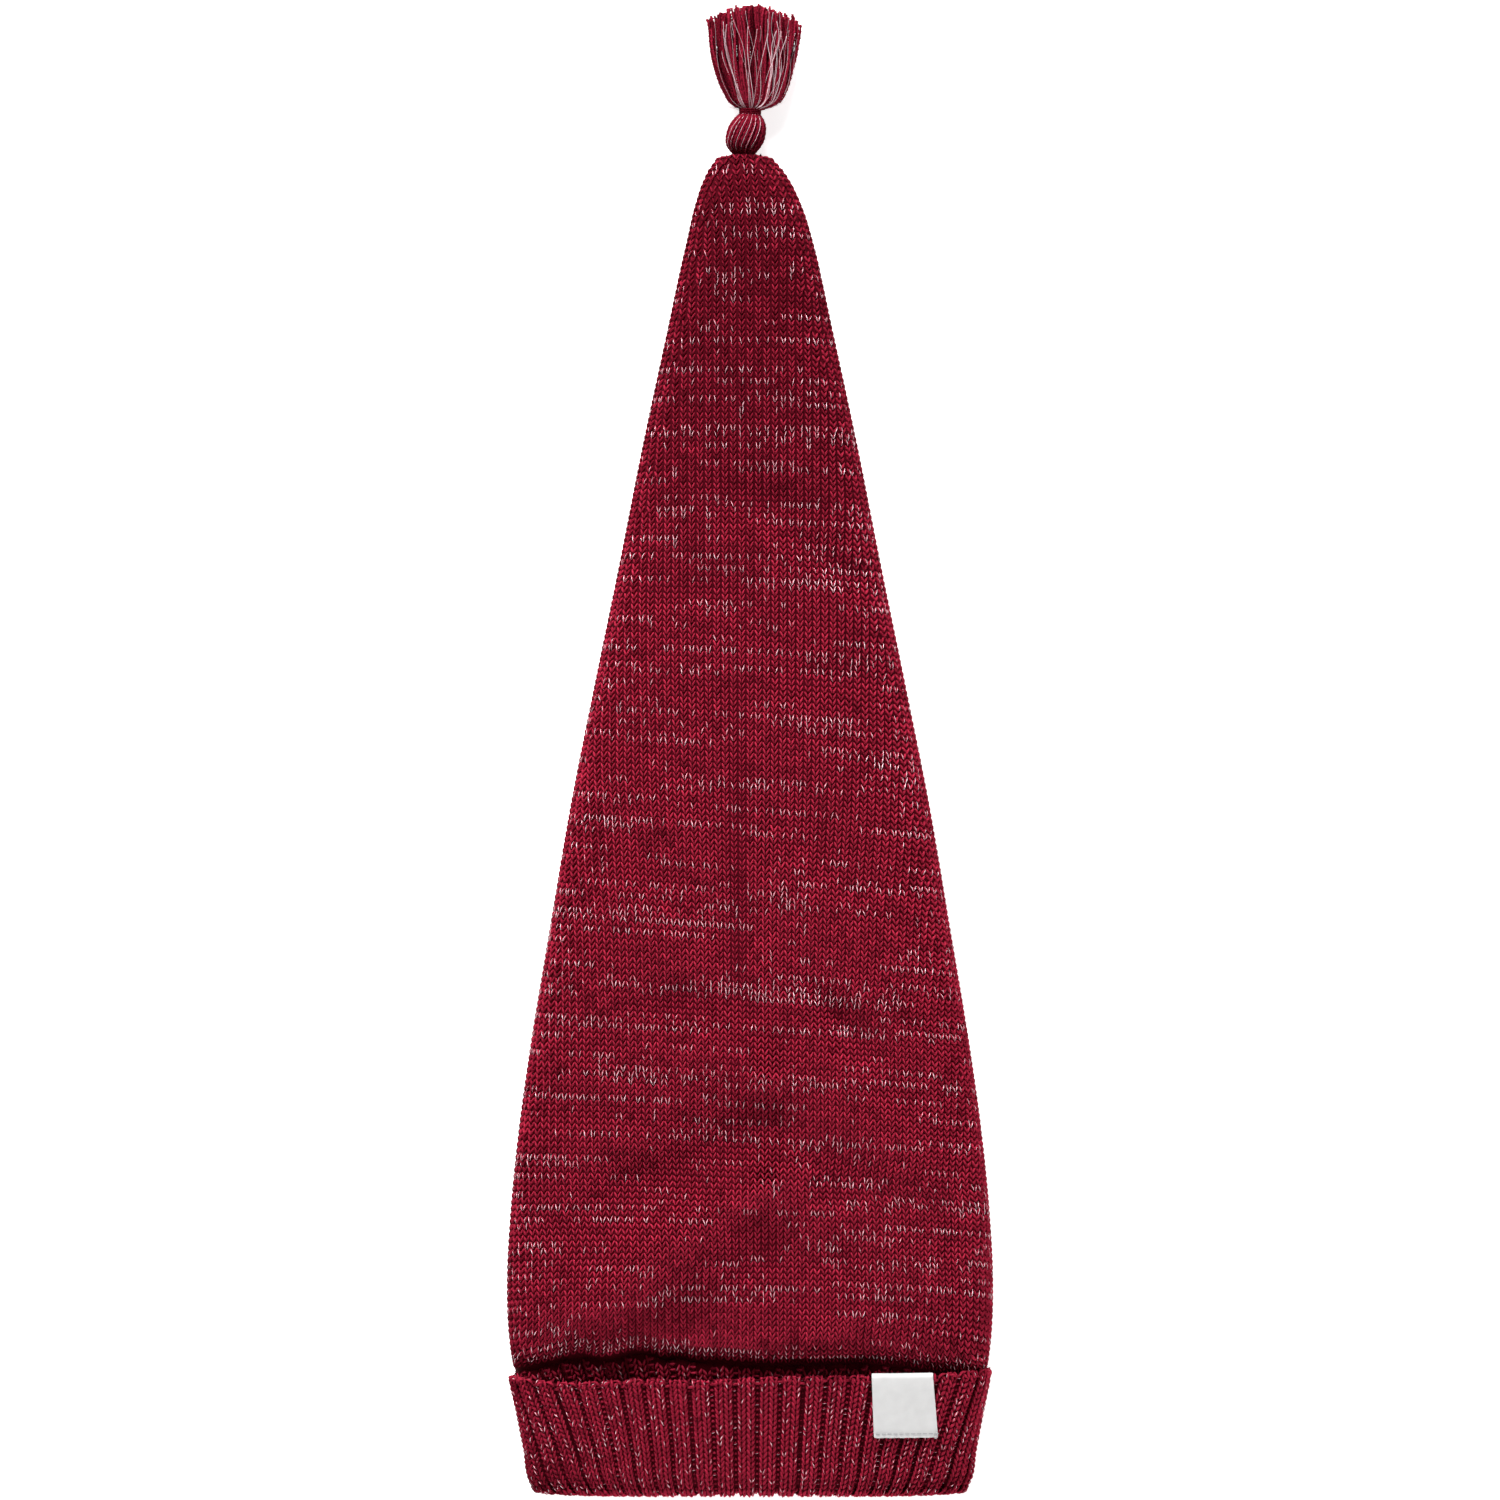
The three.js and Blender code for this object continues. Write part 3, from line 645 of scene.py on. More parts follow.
def yarn_bar(rows, along_x):
    """Points, triangles and yarn map of a short length of yarn with pointed ends, from a table of its leg."""
    ends = (rows[0], rows[-1])
    points, uv = [], []
    side = (0, -1) if along_x else (1, 0)
    for run, out, rise, half, thick in rows[1:-1]:
        centre = (run, out) if along_x else (out, run)
        for shift, lift, v in ((-half, -0.45, 0), (0, 0.55, 0.5), (half, -0.45, 1)):
            points.append((centre[0] + shift * side[0], centre[1] + shift * side[1], rise + lift * thick))
            uv.append((run, v))
    count = len(rows) - 2
    for run, out, rise, _, _ in ends:
        points.append((run, out, rise) if along_x else (out, run, rise))
        uv.append((run, 0.5))
    foot, head = 3 * count, 3 * count + 1
    faces = []
    for edge in range(3):
        beside = (edge + 1) % 3
        faces.append((foot, beside, edge))
        for ring in range(count - 1):
            a, b = 3 * ring + edge, 3 * ring + beside
            faces += [(a, b, b + 3), (a, b + 3, a + 3)]
        faces.append((3 * (count - 1) + edge, 3 * (count - 1) + beside, head))
    return np.array(points, float), np.array(faces), np.array(uv, float)


def mirrored(bar):
    """A bar turned over to the other side of the wale, still facing out."""
    points, faces, uv = bar
    return points * (-1, 1, 1), faces[:, ::-1], uv * (1, -1) + (0, 1)


def shape_object(name, bars, smooth=True):
    """A small shape for scattering, made of bars."""
    points, faces, uv, count = [], [], [], 0
    for bar_points, bar_faces, bar_uv in bars:
        points.append(bar_points)
        faces.append(bar_faces + count)
        uv.append(bar_uv)
        count += len(bar_points)
    mesh = mesh_from(name, np.concatenate(points), np.concatenate(faces), smooth, np.concatenate(uv))
    return object_of(mesh)


def link(tree, start, end):
    """Joins an output to an input."""
    tree.links.new(start, end)


def add_node(tree, kind, **settings):
    """A new node in a tree, with its settings."""
    node = tree.nodes.new(kind)
    for key, value in settings.items():
        setattr(node, key, value)
    return node


def fill(node, values):
    """Sets a node's inputs, each by its name or number."""
    for key, value in values.items():
        node.inputs[key].default_value = value


def scatter_tree():
    """Geometry Nodes that set one shape on every place, turned to the cloth, and make the result plain."""
    name = "Stitch scatter"
    if name in bpy.data.node_groups:
        return bpy.data.node_groups[name]
    tree = bpy.data.node_groups.new(name, "GeometryNodeTree")
    sockets = (
        ("Places", "NodeSocketGeometry"),
        ("Shape", "NodeSocketObject"),
        ("Width", "NodeSocketFloat"),
        ("Height", "NodeSocketFloat"),
        ("Thickness", "NodeSocketFloat"),
        ("Unevenness", "NodeSocketFloat"),
        ("Seed", "NodeSocketInt"),
        ("Finish", "NodeSocketMaterial"),
    )
    for socket, kind in sockets:
        tree.interface.new_socket(socket, in_out="INPUT", socket_type=kind)
    tree.interface.new_socket("Stitches", in_out="OUTPUT", socket_type="NodeSocketGeometry")

    def add(kind, **settings):
        return add_node(tree, kind, **settings)

    def attribute(which):
        node = add("GeometryNodeInputNamedAttribute", data_type="FLOAT_VECTOR")
        fill(node, {"Name": which})
        return node.outputs["Attribute"]

    given, result = add("NodeGroupInput"), add("NodeGroupOutput")
    shape = add("GeometryNodeObjectInfo")
    turned = add("FunctionNodeAxesToRotation", primary_axis="Z", secondary_axis="Y")
    jitter = add("FunctionNodeRandomValue", data_type="FLOAT_VECTOR")
    lower = add("ShaderNodeVectorMath", operation="SCALE")
    upper = add("ShaderNodeVectorMath", operation="SCALE")
    loosened = add("FunctionNodeRotateRotation", rotation_space="LOCAL")
    euler = add("FunctionNodeEulerToRotation")
    size = add("ShaderNodeCombineXYZ")
    stretched = add("ShaderNodeVectorMath", operation="MULTIPLY")
    scattered = add("GeometryNodeInstanceOnPoints")
    plain = add("GeometryNodeRealizeInstances")
    dressed = add("GeometryNodeSetMaterial")

    link(tree, given.outputs["Shape"], shape.inputs["Object"])
    link(tree, attribute("out_way"), turned.inputs["Primary Axis"])
    link(tree, attribute("up_way"), turned.inputs["Secondary Axis"])
    for node, amount in ((lower, -1.0), (upper, 1.0)):
        node.inputs[0].default_value = (0.6 * amount, 0.6 * amount, amount)
        link(tree, given.outputs["Unevenness"], node.inputs["Scale"])
    link(tree, lower.outputs["Vector"], jitter.inputs[0])
    link(tree, upper.outputs["Vector"], jitter.inputs[1])
    link(tree, given.outputs["Seed"], jitter.inputs["Seed"])
    link(tree, jitter.outputs[0], euler.inputs[0])
    link(tree, turned.outputs[0], loosened.inputs["Rotation"])
    link(tree, euler.outputs[0], loosened.inputs["Rotate By"])
    for axis, which in enumerate(("Width", "Height", "Thickness")):
        link(tree, given.outputs[which], size.inputs[axis])
    link(tree, size.outputs[0], stretched.inputs[0])
    link(tree, attribute("stretch"), stretched.inputs[1])
    link(tree, given.outputs["Places"], scattered.inputs["Points"])
    link(tree, shape.outputs["Geometry"], scattered.inputs["Instance"])
    link(tree, loosened.outputs[0], scattered.inputs["Rotation"])
    link(tree, stretched.outputs["Vector"], scattered.inputs["Scale"])
    link(tree, scattered.outputs["Instances"], plain.inputs["Geometry"])
    link(tree, plain.outputs["Geometry"], dressed.inputs["Geometry"])
    link(tree, given.outputs["Finish"], dressed.inputs["Material"])
    link(tree, dressed.outputs["Geometry"], result.inputs["Stitches"])
    return tree


def bake_cells(mesh, count):
    """A map that gives each scattered shape a cell of its own, for baking."""
    loops = len(mesh.loops) // count
    side = math.ceil(math.sqrt(count))
    local = np.empty(2 * len(mesh.loops), np.float32)
    mesh.uv_layers["yarn"].uv.foreach_get("vector", local)
    local = local.reshape(count, loops, 2)
    low, high = local.min((0, 1)), local.max((0, 1))
    margin = 0.12
    local = margin + (1 - 2 * margin) * (local - low) / np.maximum(high - low, 1e-6)
    cell = np.stack([np.arange(count) % side, np.arange(count) // side], axis=1)[:, None, :]
    layer = mesh.uv_layers.new(name="OFBake")
    layer.uv.foreach_set("vector", ((cell + local) / side).astype(np.float32).ravel())


def scatter(name, places, shape, material, size, seed, unevenness=0.05):
    """A piece of scattered stitches: width, height and thickness of the shape in millimetres."""
    count = len(places["place"])
    carrier = bpy.data.meshes.new(name + "_places")
    carrier.vertices.add(count)
    carrier.vertices.foreach_set("co", to_frame(places["place"]).astype(np.float32).ravel())
    for key, values in (("out_way", places["out"]), ("up_way", places["up"]), ("stretch", places["stretch"])):
        layer = carrier.attributes.new(key, "FLOAT_VECTOR", "POINT")
        layer.data.foreach_set("vector", values.astype(np.float32).ravel())
    layer = carrier.attributes.new("tone", "FLOAT", "POINT")
    layer.data.foreach_set("value", places["tone"].astype(np.float32))
    piece = object_of(carrier)
    piece.name = name
    tree = scatter_tree()
    modifier = piece.modifiers.new("Stitches", "NODES")
    modifier.node_group = tree
    values = {
        "Shape": shape,
        "Width": size[0] * MM,
        "Height": size[1] * MM,
        "Thickness": size[2] * MM,
        "Unevenness": unevenness,
        "Seed": seed,
        "Finish": material,
    }
    for item in tree.interface.items_tree:
        if item.in_out == "INPUT" and item.name in values:
            modifier[item.identifier] = values[item.name]
    graph = bpy.context.evaluated_depsgraph_get()
    graph.update()
    mesh = bpy.data.meshes.new_from_object(piece.evaluated_get(graph), depsgraph=graph)
    piece.modifiers.clear()
    piece.data = mesh
    mesh.name = name
    bpy.data.meshes.remove(carrier)
    if not len(mesh.polygons):
        raise RuntimeError(f"{name}: no stitches were made")
    for key in ("out_way", "up_way", "stretch"):
        if key in mesh.attributes:
            mesh.attributes.remove(mesh.attributes[key])
    bake_cells(mesh, count)
    return piece


def loop_faces(rows, columns, closed_rows):
    """Quads of a grid that closes across its columns, and along its rows where asked."""
    r, c = np.meshgrid(np.arange(rows if closed_rows else rows - 1), np.arange(columns), indexing="ij")
    ahead, beside = (r + 1) % rows, (c + 1) % columns
    here, there = r * columns, ahead * columns
    quads = np.stack([here + c, there + c, there + beside, here + beside], axis=-1)
    return quads.reshape(-1, 4)


def strands(name, paths, outs, radius, sides, turns, tone, material, lobed=True):
    """Lengths of twisted yarn along paths (strand, step, 3), in one mesh with closed ends."""
    count, steps = paths.shape[:2]
    ahead = unit(np.gradient(paths, axis=1))
    side = unit(np.cross(ahead, outs))
    lift = np.cross(side, ahead)
    angle = np.arange(sides) * 2 * np.pi / sides
    # Two plies make the yarn narrower between them
    plied = 0.52 + 0.48 * np.abs(np.cos(angle)) ** 1.2
    lobes = plied if lobed else np.ones(sides)
    twist = np.linspace(0, 2 * np.pi, steps)[None, :, None] * np.asarray(turns)[:, None, None]
    phase = angle[None, None, :] + twist + np.arange(count)[:, None, None]
    thick = np.broadcast_to(np.asarray(radius, float), (count,))[:, None, None] * lobes[None, None, :]
    sideways = (np.cos(phase) * thick)[..., None] * side[:, :, None]
    upwards = (np.sin(phase) * thick)[..., None] * lift[:, :, None]
    rings = paths[:, :, None] + (sideways + upwards)
    points = rings.reshape(-1, 3)
    quads = loop_faces(steps, sides, False)
    body = np.concatenate([quads[:, [0, 1, 2]], quads[:, [0, 2, 3]]])
    fan = np.arange(1, sides - 1)
    first = np.stack([0 * fan, fan, fan + 1], axis=1)
    last = (steps - 1) * sides + np.stack([0 * fan, fan + 1, fan], axis=1)
    one = np.concatenate([body, first, last])
    faces = (one[None] + (np.arange(count) * steps * sides)[:, None, None]).reshape(-1, 3)
    map_length = 12
    run = np.linspace(0, map_length, steps)
    uv = np.stack(np.broadcast_arrays(run[:, None], np.arange(sides)[None] / sides), axis=-1)
    uv = np.broadcast_to(uv, (count, steps, sides, 2)).reshape(-1, 2)
    tones = np.repeat(np.asarray(tone, float), steps * sides)
    mesh = mesh_from(name, to_frame(points), faces, uv=uv, tone=tones)
    return object_of(mesh, material)


# Finishes
def shader(material, kind, **settings):
    """A new node of a material, with its settings."""
    return add_node(material.node_tree, kind, **settings)


def blank_material(name):
    """A material with a Principled shader and nothing else."""
    material = bpy.data.materials.new(name)
    material.use_nodes = True
    material.node_tree.nodes.clear()
    output = shader(material, "ShaderNodeOutputMaterial")
    principled = shader(material, "ShaderNodeBsdfPrincipled")
    link(material.node_tree, principled.outputs[0], output.inputs["Surface"])
    return material, principled


def yarn_group():
    """Shader group of spun yarn: fibres, ply lines and slow drifts of tone."""
    name = "Spun yarn"
    if name in bpy.data.node_groups:
        return bpy.data.node_groups[name]
    tree = bpy.data.node_groups.new(name, "ShaderNodeTree")
    for socket, kind, default in (
        ("Deep", "NodeSocketColor", (0.1, 0.0, 0.01, 1)),
        ("Bright", "NodeSocketColor", (0.3, 0.02, 0.05, 1)),
        ("Tone", "NodeSocketFloat", 0.5),
        ("Fibre Scale", "NodeSocketFloat", 2400.0),
        ("Ply Turns", "NodeSocketFloat", 1.6),
    ):
        made = tree.interface.new_socket(socket, in_out="INPUT", socket_type=kind)
        made.default_value = default
    for socket, kind in (
        ("Colour", "NodeSocketColor"),
        ("Height", "NodeSocketFloat"),
        ("Roughness", "NodeSocketFloat"),
    ):
        tree.interface.new_socket(socket, in_out="OUTPUT", socket_type=kind)

    def add(kind, **settings):
        return add_node(tree, kind, **settings)

    def maths(operation, first, second):
        node = add("ShaderNodeMath", operation=operation)
        for socket, value in zip(node.inputs, (first, second)):
            if isinstance(value, (int, float)):
                socket.default_value = value
            else:
                link(tree, value, socket)
        return node.outputs[0]

    given, result = add("NodeGroupInput"), add("NodeGroupOutput")
    place = add("ShaderNodeTexCoord")
    fibre = add("ShaderNodeTexNoise")
    fill(fibre, {"Detail": 4, "Roughness": 0.65})
    link(tree, place.outputs["Object"], fibre.inputs["Vector"])
    link(tree, given.outputs["Fibre Scale"], fibre.inputs["Scale"])
    drift = add("ShaderNodeTexNoise")
    fill(drift, {"Scale": 32, "Detail": 2})
    link(tree, place.outputs["Object"], drift.inputs["Vector"])
    chart = add("ShaderNodeUVMap", uv_map="yarn")
    parts = add("ShaderNodeSeparateXYZ")
    link(tree, chart.outputs["UV"], parts.inputs[0])
    turn = maths("MULTIPLY", parts.outputs["X"], given.outputs["Ply Turns"])
    turn = maths("ADD", turn, parts.outputs["Y"])
    ply = maths("SINE", maths("MULTIPLY", turn, 4 * math.pi), 0)
    fine = maths("SUBTRACT", fibre.outputs["Fac"], 0.5)
    slow = maths("SUBTRACT", drift.outputs["Fac"], 0.5)
    mask = given.outputs["Tone"]
    for source, contrast in ((fine, 1.3), (ply, 0.12), (slow, 0.12)):
        mask = maths("ADD", mask, maths("MULTIPLY", source, contrast))
    clamp = add("ShaderNodeClamp")
    link(tree, mask, clamp.inputs["Value"])
    mix = add("ShaderNodeMix", data_type="RGBA")
    link(tree, clamp.outputs[0], mix.inputs["Factor"])
    link(tree, given.outputs["Deep"], mix.inputs["A"])
    link(tree, given.outputs["Bright"], mix.inputs["B"])
    link(tree, mix.outputs["Result"], result.inputs["Colour"])
    height = maths("ADD", maths("MULTIPLY", fibre.outputs["Fac"], 0.8), maths("MULTIPLY", ply, 0.16))
    link(tree, height, result.inputs["Height"])
    rough = maths("ADD", 0.72, maths("MULTIPLY", fibre.outputs["Fac"], 0.3))
    link(tree, rough, result.inputs["Roughness"])
    return tree


def yarn_material(name, deep, bright, fibre_scale=2400.0, bump=0.5):
    """Dark red spun yarn whose tone follows each stitch or strand."""
    material, principled = blank_material(name)
    tree = material.node_tree
    group = shader(material, "ShaderNodeGroup", node_tree=yarn_group())
    fill(group, {"Deep": (*deep, 1), "Bright": (*bright, 1), "Fibre Scale": fibre_scale})
    tone = shader(material, "ShaderNodeAttribute", attribute_name="tone")
    link(tree, tone.outputs["Fac"], group.inputs["Tone"])
    relief = shader(material, "ShaderNodeBump")
    fill(relief, {"Strength": bump, "Distance": 0.0004})
    link(tree, group.outputs["Height"], relief.inputs["Height"])
    link(tree, relief.outputs[0], principled.inputs["Normal"])
    link(tree, group.outputs["Colour"], principled.inputs["Base Color"])
    link(tree, group.outputs["Roughness"], principled.inputs["Roughness"])
    fill(principled, {"Sheen Weight": 0.012, "Sheen Roughness": 0.45, "Sheen Tint": (1.0, 0.55, 0.6, 1)})
    fill(principled, {"Specular IOR Level": 0.03})
    return material


def silver_material(name, dull, bright):
    """Thin metallised thread, brighter on some stitches than on others, with painted glints in its colour."""
    material, principled = blank_material(name)
    tree = material.node_tree
    tone = shader(material, "ShaderNodeAttribute", attribute_name="tone")
    mix = shader(material, "ShaderNodeMix", data_type="RGBA")
    fill(mix, {"A": (*dull, 1), "B": (*bright, 1)})
    link(tree, mix.outputs["Result"], principled.inputs["Base Color"])
    place = shader(material, "ShaderNodeTexCoord")
    grain = shader(material, "ShaderNodeTexNoise")
    fill(grain, {"Scale": 420})
    link(tree, place.outputs["Object"], grain.inputs["Vector"])
    # Painted glints: noise patches that push the thread's colour towards bright silver
    glint = shader(material, "ShaderNodeMath", operation="MULTIPLY_ADD", use_clamp=True)
    fill(glint, {1: 1.6, 2: -0.8})
    link(tree, grain.outputs["Fac"], glint.inputs[0])
    shown = shader(material, "ShaderNodeMath", operation="ADD", use_clamp=True)
    link(tree, tone.outputs["Fac"], shown.inputs[0])
    link(tree, glint.outputs[0], shown.inputs[1])
    link(tree, shown.outputs[0], mix.inputs["Factor"])
    spread = shader(material, "ShaderNodeMapRange")
    fill(spread, {"To Min": 0.25, "To Max": 0.55})
    link(tree, grain.outputs["Fac"], spread.inputs["Value"])
    link(tree, spread.outputs["Result"], principled.inputs["Roughness"])
    fill(principled, {"Metallic": 0.1})
    return material


def tape_material(name, colour, shade):
    """White satin tape: fine warp lines, a softer weft, and slight shading."""
    material, principled = blank_material(name)
    tree = material.node_tree
    chart = shader(material, "ShaderNodeUVMap", uv_map="yarn")
    weft = shader(material, "ShaderNodeTexWave", bands_direction="Y")
    fill(weft, {"Scale": 34, "Distortion": 0.6})
    warp = shader(material, "ShaderNodeTexWave", bands_direction="X")
    fill(warp, {"Scale": 22, "Distortion": 0.4})
    for node in (weft, warp):
        link(tree, chart.outputs["UV"], node.inputs["Vector"])
    cloud = shader(material, "ShaderNodeTexNoise")
    fill(cloud, {"Scale": 240, "Detail": 3})
    place = shader(material, "ShaderNodeTexCoord")
    link(tree, place.outputs["Object"], cloud.inputs["Vector"])
    woven = shader(material, "ShaderNodeMath", operation="MULTIPLY")
    link(tree, weft.outputs["Fac"], woven.inputs[0])
    link(tree, warp.outputs["Fac"], woven.inputs[1])
    mask = shader(material, "ShaderNodeMath", operation="MULTIPLY_ADD")
    link(tree, woven.outputs[0], mask.inputs[0])
    fill(mask, {1: 0.35})
    link(tree, cloud.outputs["Fac"], mask.inputs[2])
    mix = shader(material, "ShaderNodeMix", data_type="RGBA")
    fill(mix, {"A": (*shade, 1), "B": (*colour, 1)})
    link(tree, mask.outputs[0], mix.inputs["Factor"])
    link(tree, mix.outputs["Result"], principled.inputs["Base Color"])
    relief = shader(material, "ShaderNodeBump")
    fill(relief, {"Strength": 0.35, "Distance": 0.0002})
    link(tree, woven.outputs[0], relief.inputs["Height"])
    link(tree, relief.outputs[0], principled.inputs["Normal"])
    gloss = shader(material, "ShaderNodeMapRange")
    fill(gloss, {"To Min": 0.5, "To Max": 0.7})
    link(tree, cloud.outputs["Fac"], gloss.inputs["Value"])
    link(tree, gloss.outputs["Result"], principled.inputs["Roughness"])
    fill(principled, {"Sheen Weight": 0.1})
    return material


def floor_material(name, colour):
    """Pale matt floor with a faint grain and a glow that keeps shadows faint."""
    material, principled = blank_material(name)
    tree = material.node_tree
    place = shader(material, "ShaderNodeTexCoord")
    grain = shader(material, "ShaderNodeTexNoise")
    fill(grain, {"Scale": 60})
    link(tree, place.outputs["Object"], grain.inputs["Vector"])
    mix = shader(material, "ShaderNodeMix", data_type="RGBA")
    fill(mix, {"A": (*(0.985 * c for c in colour), 1), "B": (*colour, 1)})
    link(tree, grain.outputs["Fac"], mix.inputs["Factor"])
    link(tree, mix.outputs["Result"], principled.inputs["Base Color"])
    fill(principled, {"Roughness": 0.9, "Specular IOR Level": 0.1})
    fill(principled, {"Emission Color": (1, 1, 1, 1), "Emission Strength": 0.75})
    return material


def finish(name):
    """The hat's finishes, made once each."""
    colours = bpy.context.scene.hat_colours
    if name in bpy.data.materials:
        return bpy.data.materials[name]
    if name == "red_stitches":
        return yarn_material(name, colours.deep_red, colours.bright_red, fibre_scale=1000.0)
    # Painted shade: a red darker than the yarn's own deep red, for the cloth between and beneath the stitches
    if name == "red_ground":
        return yarn_material(name, colours.shaded_ground_red, colours.deep_red, fibre_scale=1500.0)
    if name == "red_strands":
        return yarn_material(name, colours.deep_red, colours.bright_red, fibre_scale=1200.0)
    if name == "silver_thread":
        return silver_material(name, DULL_SILVER, colours.silver)
    if name == "white_tape":
        return tape_material(name, colours.tape_white, TAPE_SHADE)
    if name == "grey_thread":
        return tape_material(name, THREAD_GREY, THREAD_SHADE)
    if name == "pale_floor":
        return floor_material(name, colours.floor)
    raise RuntimeError(f"no finish is named {name}")


def seat(piece, node, replaces=False):
    """Fixes a finished piece to the frame."""
    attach(piece, "root")
    if replaces:
        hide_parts(node)
    return piece


# The cuff's visible skin, from inside its free edge, over it, down the ribs and round the fold into the mouth
def even_ring(columns, inset, count, draw):
    """A ring of points round a section, at even steps that draw in at the sides."""
    across, height = lying_section(columns, inset, 1.5 * np.pi, 1441)
    run = run_round(across, height)
    places = np.linspace(0, 1, count, endpoint=False)
    for side, way in CUFF_SIDES:
        places = places + way * draw * np.exp(-(((places - side) / CUFF_SIDE_REACH) ** 2))
    x = np.array([np.interp(1 - places, r / r[-1], a) for r, a in zip(run, across)])
    z = np.array([np.interp(1 - places, r / r[-1], h) for r, h in zip(run, height)])
    return x, z


def cuff_ring(layer, along, inset, count, place=None):
    """A ring of the cuff's turned-up or inner layer, moved by its bow and by the line of its upper edge."""
    columns = read(TURNED if layer == "turned" else BODY, along if place is None else place)
    x, z = even_ring(columns, inset, count, RIB_DRAW * max(0.0, 1 - along / CUFF_HEIGHT))
    shift = free_edge_shift if layer == "turned" else crease_shift
    y = along + bow(along, 2 * x / columns[0, 0]) + shift(x, along) * front_share(columns, z)
    return np.stack([x[0], y[0], z[0]], axis=-1)


def cuff_skin(count):
    """Rings of the cuff's skin over its crests, and how far each one takes part in the ribs."""
    edge = CUFF_HEIGHT - EDGE_ROUND
    rows = []
    for along in (36.0, 42.0, 47.0):
        rows.append(("turned", along, along, RIB_WALL, 0.0))
    for t in np.linspace(0, 1, 7):
        inset = RIB_WALL * (1 + math.cos(math.pi * t)) / 2
        rows.append(("turned", edge, edge + EDGE_ROUND * math.sin(math.pi * t), inset, t))
    for along in np.linspace(edge - 1.6, 5.6, 18):
        rows.append(("turned", along, along, 0.0, 1.0))
    for t in np.linspace(0, 1, 11):
        rows.append(("fold", t, FOLD_ALONG + t - FOLD_DEPTH * math.sin(math.pi * t), 0.0, 1.0))
    for along in np.linspace(6.6, JOIN - RIM_GAP / 2, 12):
        rows.append(("body", along, along, RIB_WALL, 1.0))
    rings, ribbed = [], []
    for layer, place, along, inset, share in rows:
        if layer == "fold":
            mix = (1 - math.cos(math.pi * place)) / 2
            outside = cuff_ring("turned", along, 0.0, count, FOLD_ALONG)
            inside = cuff_ring("body", along, RIB_WALL, count, FOLD_ALONG + 1)
            rings.append(outside * (1 - mix) + inside * mix)
        else:
            rings.append(cuff_ring(layer, along, inset, count, place))
        ribbed.append(share)
    return np.array(rings), np.array(ribbed)


def crease_skin(count):
    """Rings of the inner layer's outside, from behind the turned-up layer to the crown's rim."""
    places = np.linspace(JOIN - RIM_GAP / 2, 40, 10)
    return np.array([cuff_ring("body", along, 0.0, count) for along in places])


def grid_normals(rings):
    """Ways out of a grid of rings that closes across its columns."""
    across = np.roll(rings, -1, axis=1) - np.roll(rings, 1, axis=1)
    along = np.gradient(rings, axis=0)
    return unit(np.cross(across, along))


def furrow(stitch):
    """Share of the furrow's depth at a place counted in stitches round the cuff, uneven from rib to rib."""
    rib = np.floor((stitch - 0.5) / RIB_STITCHES)
    deep = 0.9 + 0.3 * np.sin(2.3 * rib) + 0.2 * np.sin(5.1 * rib + 1)
    return deep * np.exp(-((((stitch - 0.5) % RIB_STITCHES) - 1.5) / FURROW_HALF) ** 2)


def painted_rib_shade(across, along):
    """Painted shade on the cuff's yarn at its left edge and lower corners, less painted light along its
    folded edge.
    """
    painted_left_shade, painted_corner_shade, painted_fold_light = 0.3, 0.4, 0.3
    left_edge, corner_across, corner_along, fold_along = 98, 92, 24, 8
    side = np.clip(np.abs(across) / corner_across, 0, 1)
    shade = painted_left_shade * np.clip(-across / left_edge, 0, 1) ** 4
    shade += painted_corner_shade * side**3 * np.clip(1 - along / corner_along, 0, 1)
    shade -= painted_fold_light * (1 - side**4) * np.clip(1 - along / fold_along, 0, 1)
    return shade


class HatSizes(bpy.types.PropertyGroup):
    """Sizes of the knitting."""

    stitch_width: bpy.props.FloatProperty(
        name="Stitch width", description="Width of a plain stitch", default=0.0035, unit="LENGTH")
    stitch_height: bpy.props.FloatProperty(
        name="Stitch height", description="Height of a course of plain knitting", default=0.00247,
        unit="LENGTH")
    yarn_thickness: bpy.props.FloatProperty(
        name="Yarn thickness", description="How far the yarn stands off the cloth", default=0.00102,
        unit="LENGTH")
    rib_course: bpy.props.FloatProperty(
        name="Rib course", description="Height of a course of the ribbed cuff", default=0.0023, unit="LENGTH")
    silver_share: bpy.props.FloatProperty(
        name="Silver share", description="Share of stitches that show the silver thread", default=0.35,
        min=0.0, max=0.6, subtype="FACTOR")
    strand_radius: bpy.props.FloatProperty(
        name="Strand radius", description="Radius of a strand of the tassel", default=0.00078, unit="LENGTH")


class HatColours(bpy.types.PropertyGroup):
    """Colours of the yarn, the tape and the floor."""

    deep_red: bpy.props.FloatVectorProperty(
        name="Deep red", description="Yarn where it lies in shade", subtype="COLOR",
        default=(0.09, 0.0015, 0.0075))
    bright_red: bpy.props.FloatVectorProperty(
        name="Bright red", description="Yarn where its fibres catch the light", subtype="COLOR",
        default=(0.43, 0.02, 0.052))
    # Painted shade: the cloth between the stitches, the walls' inner skins and the tassel's filling are far
    # darker than the yarn
    shaded_ground_red: bpy.props.FloatVectorProperty(
        name="Ground red", description="Cloth seen between the stitches", subtype="COLOR",
        default=(0.02, 0.0005, 0.002))
    silver: bpy.props.FloatVectorProperty(
        name="Silver", description="Metallised thread", subtype="COLOR", default=(1.0, 0.75, 0.81))
    tape_white: bpy.props.FloatVectorProperty(
        name="Tape white", description="Label tape", subtype="COLOR", default=(0.7, 0.695, 0.69))
    floor: bpy.props.FloatVectorProperty(
        name="Floor", description="Pale floor", subtype="COLOR", default=(0.9, 0.9, 0.9))


